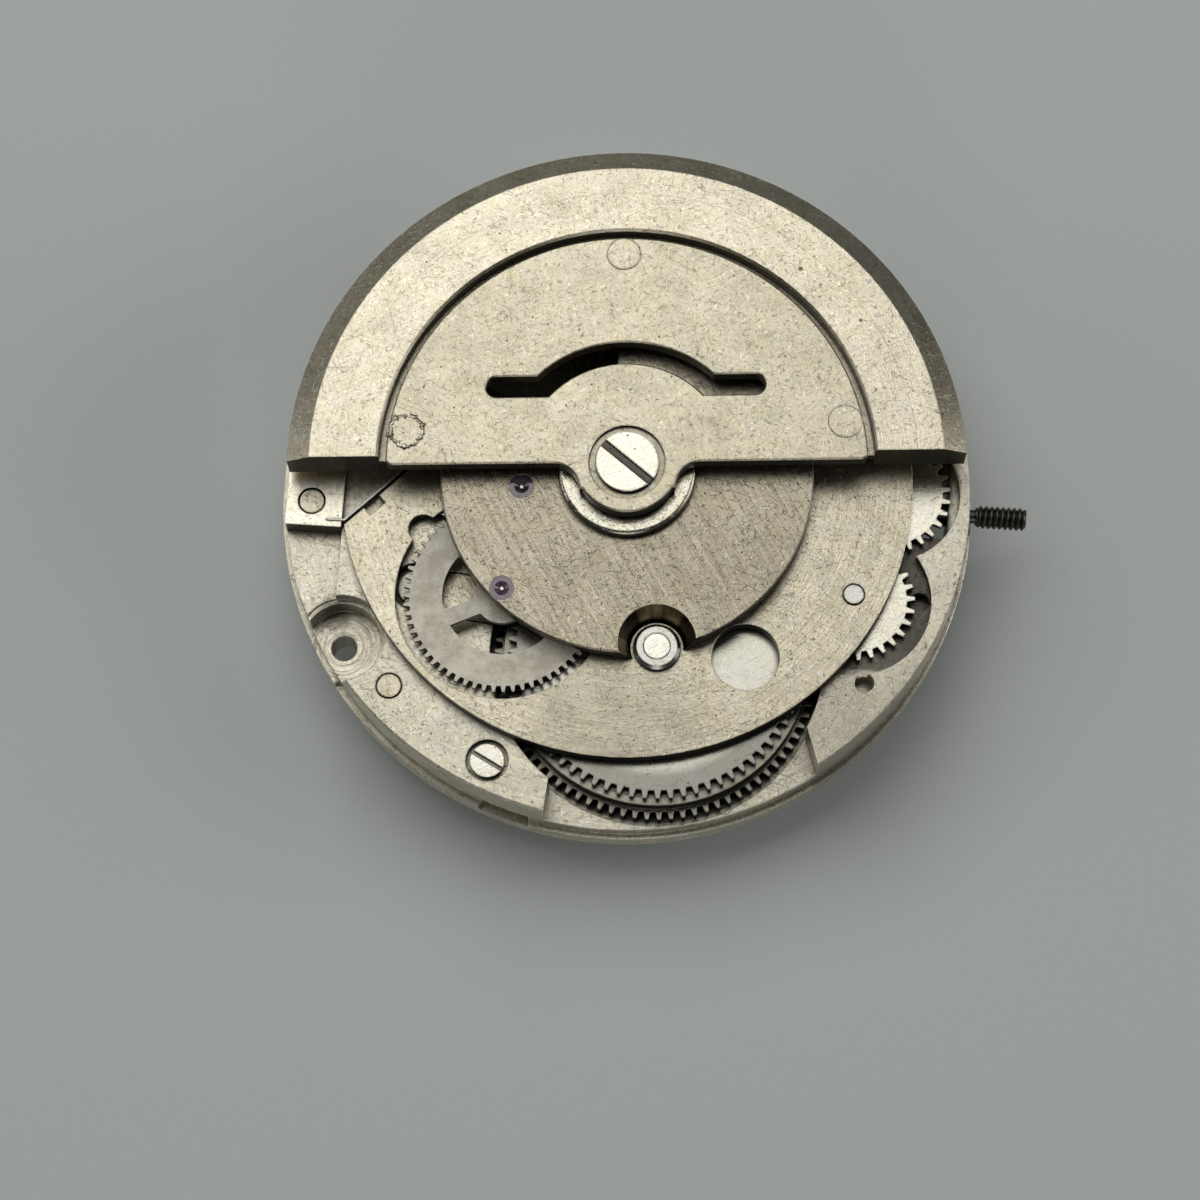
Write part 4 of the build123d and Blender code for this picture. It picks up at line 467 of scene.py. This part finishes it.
metalLooks = {
    "rotorFace": {
        "edge": 0.08,
        "stains": ((0.97, 6.12, 0.22, 0.45, brown), (3.0, 1.83, 0.25, 0.35, brown)),
    },
    "weightFace": {
        "light": (0.76, 0.705, 0.565),
        "dark": (0.33, 0.30, 0.228),
        "grain": "turned",
        "grainScale": 20.0,
        "grainDepth": 0.14,
        "rings": ((10.65, 0.05, 0.14),),
        "specks": 0.10,
        "stains": ((5.98, 7.98, 0.14, 0.9, dark), (8.30, 6.07, 0.10, 0.85, dark)),
        "paintedWallLight": 0.22,
    },
    "autoFace": {
        "light": (0.44, 0.40, 0.315),
        "dark": (0.175, 0.155, 0.115),
        "grain": "straight",
        "grainAngle": -58.0,
        "grainScale": 9.0,
        "grainDepth": 0.62,
        "contrast": 0.24,
        "specks": 0.18,
        "rough": (0.24, 0.38),
        "relief": 6.0,
        "cone": (1.495, -6.428, 1.6),
    },
    "bridgeFace": {
        "light": (0.67, 0.62, 0.485),
        "dark": (0.27, 0.246, 0.184),
        "grain": "turned",
        "grainScale": 10.0,
        "grainDepth": 0.34,
        "paintedWallLight": 0.15,
        "relief": 5.0,
        "stains": ((0.0, -9.4, 5.0, 0.38, southDarkTint),),
        "wells": ((3.60, 0.80, -4.282, -4.739, 3.40, 4.10),),
    },
    "plateFace": {
        "light": (0.77, 0.725, 0.60),
        "dark": (0.33, 0.305, 0.24),
        "grain": "turned",
        "grainScale": 6.0,
        "grainDepth": 0.20,
        "scratches": 0.5,
        "specks": 0.18,
        "paintedWallLight": 1.15,
        "metallic": 0.75,
        "rough": (0.25, 0.42),
        "relief": 5.0,
        "edge": 0.07,
        "edgeWearAndHighlight": 2.2,
        "sunk": ((2.98, 0.85, 5.2, -6.6, 12.2, 4.0, 12.4),),
        "wells": ((2.4, 0.85, 1.495, -6.428, 0.0, 6.05),),
        "spots": ((-10.13, -6.53, 1.6, 0.55),),
        "stains": ((8.6, -8.6, 4.5, 0.42, southDarkTint), (-10.5, -5.4, 0.8, 0.6, dark)),
    },
    "blockFace": {
        "light": (0.86, 0.82, 0.70),
        "dark": (0.52, 0.48, 0.39),
        "grain": "straight",
        "grainAngle": 4.0,
        "rough": (0.22, 0.36),
    },
    "satinSteel": {
        **steelTone,
        "specks": 0.05,
        "rough": (0.20, 0.34),
    },
    "brightSteel": {
        **steelTone,
        "light": (0.62, 0.60, 0.53),
        "dark": (0.40, 0.38, 0.33),
        "specks": 0.03,
        "rough": (0.10, 0.20),
        "paintedWallLight": 0.5,
    },
    "ringSteel": {
        "light": (0.62, 0.59, 0.49),
        "dark": (0.34, 0.32, 0.255),
        "specks": 0.04,
        "rough": (0.10, 0.20),
        "paintedWallLight": 0.35,
        "grain": "turned",
        "grainScale": 10.0,
        "grainDepth": 0.10,
        "soilAndShadeDepth": 0.92,
    },
    "screwHead": {
        **steelTone,
        "light": (0.72, 0.69, 0.60),
        "dark": (0.46, 0.44, 0.37),
        "grain": "straight",
        "grainAngle": 25.0,
        "grainScale": 12.0,
        "grainDepth": 0.12,
        "rough": (0.18, 0.30),
        "paintedWallLight": 0.30,
        "shadedSlots": (3.05, 3.65, 4.50, 3.85),
        "slotShadeTone": 0.42,
        "soilAndShadeDepth": 0.92,
    },
    "pinFace": {
        "rough": (0.24, 0.36),
        "specks": 0.3,
        "soilAndShadeReach": 0.36,
        "paintedWallLight": 0.15,
    },
    "rotorScrew": {
        **steelTone,
        "light": (0.74, 0.71, 0.61),
        "dark": (0.46, 0.44, 0.37),
        "grain": "straight",
        "grainAngle": 25.0,
        "grainScale": 12.0,
        "grainDepth": 0.12,
        "rough": (0.18, 0.30),
        "paintedWallLight": 0.30,
        "shadedSlots": (5.73,),
        "edge": 0.09,
        "soilAndShadeDepth": 0.92,
    },
    "wheelSteel": {
        **steelTone,
        "light": (0.76, 0.735, 0.64),
        "dark": (0.34, 0.32, 0.26),
        "specks": 0.14,
        "paintedWallLight": 0.12,
        "rough": (0.18, 0.32),
        "soilAndShadeReach": 0.22,
        "soilAndShadeDepth": 0.95,
    },
    "ratchetFace": {
        **steelTone,
        "light": (0.47, 0.46, 0.40),
        "dark": (0.40, 0.39, 0.335),
        "specks": 0.06,
        "paintedWallLight": 0.10,
        "rough": (0.20, 0.30),
        "flecks": 0.1,
        "soilAndShadeDepth": 0.97,
        "edgeWearAndHighlight": 0.5,
        "relief": 1.5,
        "darkRim": (1.495, -6.428, 4.2, 4.7, 0.5),
    },
    "barrelSteel": {
        **steelTone,
        "light": (0.36, 0.35, 0.29),
        "dark": (0.15, 0.14, 0.11),
        "centre": (1.495, -6.428),
        "grain": "turned",
        "grainScale": 10.0,
        "grainDepth": 0.14,
        "paintedWallLight": 0.14,
        "soilAndShadeDepth": 0.95,
    },
    "wheelBrass": {
        "light": (0.85, 0.64, 0.30),
        "dark": (0.56, 0.40, 0.17),
        "warm": (1.0, 0.94, 0.80),
        "specks": 0.05,
        "rough": (0.20, 0.34),
        "paintedWallLight": 0.5,
    },
    "balanceGilt": {
        "light": (0.92, 0.74, 0.42),
        "dark": (0.72, 0.55, 0.29),
        "specks": 0.03,
        "rough": (0.18, 0.30),
        "centre": (-3.881, 6.857),
        "grain": "turned",
        "grainScale": 20.0,
    },
    "burrSteel": {
        "light": (0.70, 0.64, 0.50),
        "dark": (0.07, 0.06, 0.045),
        "specks": 0.0,
        "mottle": 4.0,
        "contrast": 0.08,
        "flecks": 0.6,
        "paintedWallLight": 0.45,
        "soilAndShadeReach": 0.12,
        "edgeWearAndHighlight": 0.4,
    },
    "springBlue": {
        "light": (0.20, 0.24, 0.34),
        "dark": (0.10, 0.12, 0.20),
        "specks": 0.0,
        "rough": (0.2, 0.3),
        "paintedWallLight": 0.9,
    },
    "springSteel": {
        **steelTone,
        "dark": (0.36, 0.35, 0.33),
        "rough": (0.22, 0.36),
        "paintedWallLight": 0.8,
    },
    "stemSteel": {
        "light": (0.13, 0.125, 0.115),
        "dark": (0.035, 0.033, 0.03),
        "specks": 0.05,
        "paintedWallLight": 0.9,
        "soilAndShadeReach": 0.12,
        "edgeWearAndHighlight": 0.0,
    },
    "ballSteel": {
        **steelTone,
        "light": (0.85, 0.85, 0.83),
        "dark": (0.74, 0.74, 0.72),
        "specks": 0.0,
        "scratches": 0.0,
        "rough": (0.06, 0.12),
        "paintedWallLight": 1.0,
    },
}

# Jewels: a deep clear red-purple body, lighter and darker by a slow noise, with a polished skin.
jewelForm = {
    "dark": (0.065, 0.032, 0.058),
    "light": (0.165, 0.105, 0.150),
    "clouds": 6.0,
    "index": 1.76,
    "clear": 0.25,
}


def jewelFinish(form):
    made, shader, place = newMaterial("jewel")
    cloud = place.noise(form["clouds"], detail=2.0)
    plug(shader, "Base Color", cloud.step(0.3, 0.7).blended(form["dark"], form["light"]))
    plug(shader, "Roughness", 0.05 + cloud * 0.08)
    plug(shader, "IOR", form["index"])
    plug(shader, "Transmission Weight", form["clear"])
    return made


# Moulded wheel: ivory, greyed by handling in patches, with gaps painted darker as dirt and painted shade,
# upright walls painted darker as shade, and a soft moulded skin.
ivoryForm = {
    "dark": (0.56, 0.51, 0.395),
    "light": (0.86, 0.81, 0.665),
    "patches": 1.6,
    "grain": 16.0,
    "paintedWallLight": 0.35,
    "soilAndShadeReach": 0.25,
    "soilAndShadeDepth": 0.85,
    "relief": 3.0,
}


def ivoryFinish(form):
    made, shader, place = newMaterial("ivory")
    patch = place.noise(form["patches"], detail=5.0, roughness=0.65)
    grain = place.noise(form["grain"], detail=4.0, roughness=0.7)
    base = (patch * 0.7 + grain * 0.3).step(0.38, 0.62).blended(form["dark"], form["light"])
    # Gaps painted darker from the ambient occlusion, as dirt and as painted shade.
    soilAndShade = (1.0 - place.openness(form["soilAndShadeReach"])).step(0.15, 0.80) * form["soilAndShadeDepth"]
    # Painted shade: upright walls darker than the faces that lie flat.
    up = place.facing().step(0.4, 0.85)
    shade = (0.86 + grain * 0.24) * (form["paintedWallLight"] + up * (1.0 - form["paintedWallLight"])) * (1.0 - soilAndShade)
    plug(shader, "Base Color", base.tinted(shade))
    plug(shader, "Roughness", 0.36 + patch * 0.16)
    plug(shader, "Normal", place.bump(grain, form["relief"], strength=0.8))
    return made


# Paint: flat white or black with a slight orange-peel skin.
paints = {
    "whitePaint": {"light": (0.86, 0.86, 0.83), "dark": (0.80, 0.80, 0.77)},
    "blackPaint": {"light": (0.030, 0.030, 0.032), "dark": (0.018, 0.018, 0.020)},
}


def paintFinish(name, look):
    made, shader, place = newMaterial(name)
    peel = place.noise(9.0, detail=3.0)
    plug(shader, "Base Color", peel.step(0.3, 0.7).blended(look["dark"], look["light"]))
    plug(shader, "Roughness", 0.38 + peel * 0.14)
    plug(shader, "Normal", place.bump(peel, 2.0, strength=0.4))
    return made


finishes = {name: metalFinish(name, look) for name, look in metalLooks.items()}
finishes["jewel"] = jewelFinish(jewelForm)
finishes["ivory"] = ivoryFinish(ivoryForm)
finishes.update({name: paintFinish(name, look) for name, look in paints.items()})

worn = {
    "rotorFace": ("rotor_plate", "rotor_rivets"),
    "weightFace": ("rotor_weight",),
    "autoFace": ("auto_bridge",),
    "bridgeFace": ("lower_bridge", "balance_cock", "pallet_bridge", "reduction_cock"),
    "plateFace": ("main_plate", "calendar_plate"),
    "blockFace": ("clamp_block",),
    "satinSteel": (
        "click", "click_spring", "date_jumper", "setting_lever", "yoke", "bearing_bushes", "rotor_hub",
        "winding_studs", "regulator", "pallet_fork", "roller", "setting_wheel", "minute_wheel",
    ),
    "ringSteel": ("bearing_ring",),
    "pinFace": ("locating_pins",),
    "brightSteel": (
        "balance_staff", "barrel_arbor", "cannon_pinion", "seconds_pinion", "reversing_pinion",
        "reduction_pinion", "escape_wheel",
    ),
    "screwHead": ("bridge_screws", "calendar_screws"),
    "rotorScrew": ("rotor_screw",),
    "ratchetFace": ("ratchet_wheel",),
    "wheelSteel": ("crown_wheel", "transmission_wheel", "winding_pinion", "sliding_clutch"),
    "barrelSteel": ("barrel_drum", "barrel_cover"),
    "wheelBrass": (
        "centre_wheel", "third_wheel", "fourth_wheel", "hour_wheel", "date_between_wheel",
        "date_driving_wheel", "reversing_wheel",
    ),
    "balanceGilt": ("balance_wheel",),
    "springBlue": ("hairspring",),
    "springSteel": ("mainspring",),
    "stemSteel": ("stem",),
    "ballSteel": ("bearing_balls",),
    "jewel": ("upper_jewels", "plate_jewels", "pallet_stones"),
    "ivory": ("reduction_wheel",),
    "whitePaint": ("date_ring",),
}
for finish, names in worn.items():
    for name in names:
        materials = nodes[name].data.materials
        for spot in range(len(materials)):
            materials[spot] = finishes[finish]
print("finishes made:", len(finishes))


# A mesh from a grid of points [row, column, xyz] in millimetres, whose last column joins its first. A capped
# end closes with one point in the middle of the end row. Rows by columns faces outwards.
def gridPiece(name, points, finish, caps=True):
    rows, columns = points.shape[:2]
    index = np.arange(rows * columns).reshape(rows, columns)
    index = np.concatenate([index, index[:, :1]], axis=1)
    corners = [index[:-1, :-1], index[:-1, 1:], index[1:, 1:], index[1:, :-1]]
    faces = np.stack(corners, axis=-1).reshape(-1, 4).tolist()
    spots = points.reshape(-1, 3)
    if caps:
        first, last = len(spots), len(spots) + 1
        spots = np.concatenate([spots, np.stack([points[0].mean(0), points[-1].mean(0)])])
        faces += np.stack([index[0, 1:], index[0, :-1], np.full(columns, first)], -1).tolist()
        faces += np.stack([index[-1, :-1], index[-1, 1:], np.full(columns, last)], -1).tolist()
    mesh = bpy.data.meshes.new(name)
    mesh.from_pydata((spots * mm).tolist(), [], faces)
    mesh.polygons.foreach_set("use_smooth", np.ones(len(faces), bool))
    crease = 0.6  # edges that turn further than this, in radians, stay sharp
    mesh.set_sharp_from_angle(angle=crease)
    mesh.materials.append(finish)
    return linked(name, mesh)


# The winding stem: a turned rod along x with a squared length and a cut thread. Each length has the x where
# it ends, and its radius.
stemForm = {
    "height": 1.65,
    "pilot": (7.4, 0.22),
    "square": (10.25, 0.25),
    "journal": (11.1, 0.38),
    "groove": (11.4, 0.25),
    "hub": (12.58, 0.44),
    "relief": (13.1, 0.26),
    "unbroken": ("groove", "relief"),  # lengths whose ends have no chamfer
    "chamfer": (0.06, 0.86),  # its length, and the share of the radius that it ends at
    "squareCorner": 0.32,
    "threadCore": 0.33,
    "threadCrest": 0.43,
    "threadTurns": 9,
    "flank": (1.35, 0.1, 0.85),  # how steep, how deep and how round the thread's flanks are
    "fade": (0.7, 0.5, 0.45),  # turns that the thread starts and ends in, and the least of its height there
    "around": 56,
    "perTurn": 14,
}


# Radius as a function of x and the turn angle: each length has its own radius, the square is the half side
# over the larger of cosine and sine, and the thread's height is a rounded saw in (x / pitch - turn).
def makeStem(form):
    low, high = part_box("stem")
    at, end = low.x / mm, high.x / mm
    turn = np.linspace(0, 2 * math.pi, form["around"], endpoint=False)
    chamfer, ended = form["chamfer"]
    xs, radii = [], []
    for part in ("pilot", "square", "journal", "groove", "hub", "relief"):
        edge, size = form[part]
        full = np.full_like(turn, size)
        if part == "square":
            side = size / np.maximum(np.abs(np.cos(turn)), np.abs(np.sin(turn)))
            full = np.minimum(side, form["squareCorner"])
        ease = 1.0 if part in form["unbroken"] else ended
        xs.append(np.array([at, at + chamfer, edge - chamfer, edge]))
        radii.append(np.stack([full * ease, full, full, full * ease]))
        at = edge
    pitch = (end - at) / form["threadTurns"]
    along = np.linspace(at, end, form["threadTurns"] * form["perTurn"] + 1)
    phase = (along[:, None] - at) / pitch - turn[None, :] / (2 * math.pi)
    saw = 1 - np.abs(2 * (phase - np.floor(phase)) - 1)
    steep, deep, rounding = form["flank"]
    ridge = np.clip(steep * saw - deep, 0, 1) ** rounding
    fadeIn, fadeOut, least = form["fade"]
    starting = np.clip((along - at) / (fadeIn * pitch), 0, 1)[:, None]
    ending = np.clip((end - along) / (fadeOut * pitch), least, 1)[:, None]
    xs.append(along)
    rise = form["threadCrest"] - form["threadCore"]
    radii.append(form["threadCore"] + rise * ridge * (starting * ending))
    x, r = np.concatenate(xs), np.concatenate(radii)
    xx = np.broadcast_to(x[:, None], r.shape)
    grid = np.stack([xx, -r * np.cos(turn), form["height"] + r * np.sin(turn)], -1)
    piece = gridPiece("threadedStem", grid, finishes["stemSteel"])
    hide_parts("stem")
    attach(piece, "stem")


makeStem(stemForm)
print("stem made")

# The three rivets are staked: each has a ragged raised ring where the tool closed it.
rivetForm = {
    "ring": 8.18,
    "turns": (175.15, 94.35, 14.65),
    "radius": 0.585,
    "width": (0.12, 0.06, 0.04),
    "height": (0.04, 0.02, 0.012),
    "ragged": (0.035, 0.012, 0.004),
    "waves": (3, 5, 8, 13, 21),
    "shifts": (0.4, 2.1, 4.0, 1.3, 5.2),
    "uneven": (0.35, 0.4),  # of the width and of the height
    "sink": 0.02,
    "around": 144,
    "across": 9,
}


# A ring's radius is a circle plus a sum of sines of 3, 5, 8, 13 and 21 waves, its width and height are uneven
# in the same way, and across it the surface is the parabola 1 - u * u, whose ends lie under the plate's face.
def makeRivetRings(form):
    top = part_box("rotor_plate")[1].z / mm
    turn = np.linspace(0, 2 * math.pi, form["around"], endpoint=False)
    across = np.linspace(1, -1, form["across"])[:, None]
    waves = np.array(form["waves"])[:, None]
    for spot, bearing in enumerate(form["turns"]):
        shift = np.array(form["shifts"])[:, None] * (spot + 1)
        uneven = (np.sin(waves * turn + shift) / waves**0.4).sum(0)
        swell = (np.sin(waves * turn * 2 - shift) / waves**0.3).sum(0)
        radius = form["radius"] + form["ragged"][spot] * uneven
        width = form["width"][spot] * np.clip(1 + form["uneven"][0] * swell, 0.3, 2)
        height = form["height"][spot] * np.clip(1 + form["uneven"][1] * uneven * swell, 0.2, 2)
        r = radius + width * across
        z = top - form["sink"] + (height + form["sink"]) * (1 - across**2)
        angle = math.radians(bearing)
        x = form["ring"] * math.cos(angle) + r * np.cos(turn)
        y = form["ring"] * math.sin(angle) + r * np.sin(turn)
        grid = np.stack([x, y, z], -1)
        piece = gridPiece(f"rivetRing{spot + 1}", grid, finishes["burrSteel"], caps=False)
        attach(piece, "rotor")


makeRivetRings(rivetForm)
print("rivet rings made")

# The date ring's numbers: 31 of them, printed on its underside, upright where the stem side's window is.
numberForm = {"radius": 10.1, "size": 1.18, "narrow": 0.82, "paint": 0.006, "fineness": 3, "count": 31}


# A number's flat text is read as an array of points. Its x runs outwards from the ring's radius and its y
# along the ring, mirrored for the underside, and the whole is turned by its share of a circle.
def makeNumbers(form):
    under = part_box("date_ring")[0].z / mm - form["paint"] / 2
    spots, faces, total = [], [], 0
    for number in range(form["count"]):
        text = bpy.data.curves.new("number", "FONT")
        text.body, text.size = str(number + 1), form["size"]
        text.align_x, text.align_y = "CENTER", "CENTER"
        text.extrude, text.resolution_u = form["paint"] / 2, form["fineness"]
        carrier = linked("number", text)
        flat = bpy.data.meshes.new_from_object(carrier)
        co = np.zeros(len(flat.vertices) * 3)
        flat.vertices.foreach_get("co", co)
        co = co.reshape(-1, 3)
        turn = 2 * math.pi * number / form["count"]
        x, y, z = form["radius"] + co[:, 0] * form["narrow"], -co[:, 1], under - co[:, 2]
        east = x * math.cos(turn) - y * math.sin(turn)
        north = x * math.sin(turn) + y * math.cos(turn)
        spots.append(np.stack([east, north, z], -1))
        faces += [[vertex + total for vertex in polygon.vertices] for polygon in flat.polygons]
        total += len(co)
        bpy.data.objects.remove(carrier)
        bpy.data.meshes.remove(flat)
    mesh = bpy.data.meshes.new("dateNumbers")
    mesh.from_pydata((np.concatenate(spots) * mm).tolist(), [], faces)
    mesh.materials.append(finishes["blackPaint"])
    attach(linked("dateNumbers", mesh), "date_ring")


makeNumbers(numberForm)
print("date numbers made")


# The studio: a plain pale floor, one broad soft light overhead, a soft fill at each side and one in front.
# Its lengths are metres, and each light has its name, place, size and power.
studio = {
    "floorTone": (0.565, 0.595, 0.573),
    "floorDark": 0.95,
    "floorGrain": 9.0,
    "floorRough": 0.85,
    "floorHalf": 1.5,
    "world": 0.065,
    "lights": (
        ("overhead", (-0.07, 0.135, 0.26), 0.27, 0.46),
        ("leftFill", (-0.30, 0.00, 0.13), 0.20, 0.12),
        ("rightFill", (0.30, 0.02, 0.13), 0.20, 0.26),
        ("frontStrip", (0.02, -0.31, 0.12), 0.16, 0.14),
    ),
}


def makeStudio(look):
    low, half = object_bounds()[0].z, look["floorHalf"]
    corners = [(-half, -half, low), (half, -half, low), (half, half, low), (-half, half, low)]
    mesh = bpy.data.meshes.new("floor")
    mesh.from_pydata(corners, [], [(0, 1, 2, 3)])
    made, shader, place = newMaterial("floorPaper")
    grain = place.noise(look["floorGrain"], detail=3.0, roughness=0.6)
    shaded = tuple(look["floorDark"] * part for part in look["floorTone"])
    plug(shader, "Base Color", grain.step(0.25, 0.75).blended(shaded, look["floorTone"]))
    plug(shader, "Roughness", look["floorRough"])
    mesh.materials.append(made)
    linked("floor", mesh)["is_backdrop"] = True
    for name, where, size, power in look["lights"]:
        data = bpy.data.lights.new(name, "AREA")
        data.shape, data.size, data.energy = "SQUARE", size, power
        lamp = linked(name, data)
        lamp.location = where
        x, y, z = where
        lamp.rotation_euler = (math.acos(z / math.hypot(x, y, z)), 0.0, math.atan2(x, -y))
    world = bpy.data.worlds.new("room")
    world.use_nodes = True
    background = world.node_tree.nodes["Background"].inputs
    background["Color"].default_value = (1.0, 1.0, 1.0, 1.0)
    background["Strength"].default_value = look["world"]
    bpy.context.scene.world = world


makeStudio(studio)
print("studio made")
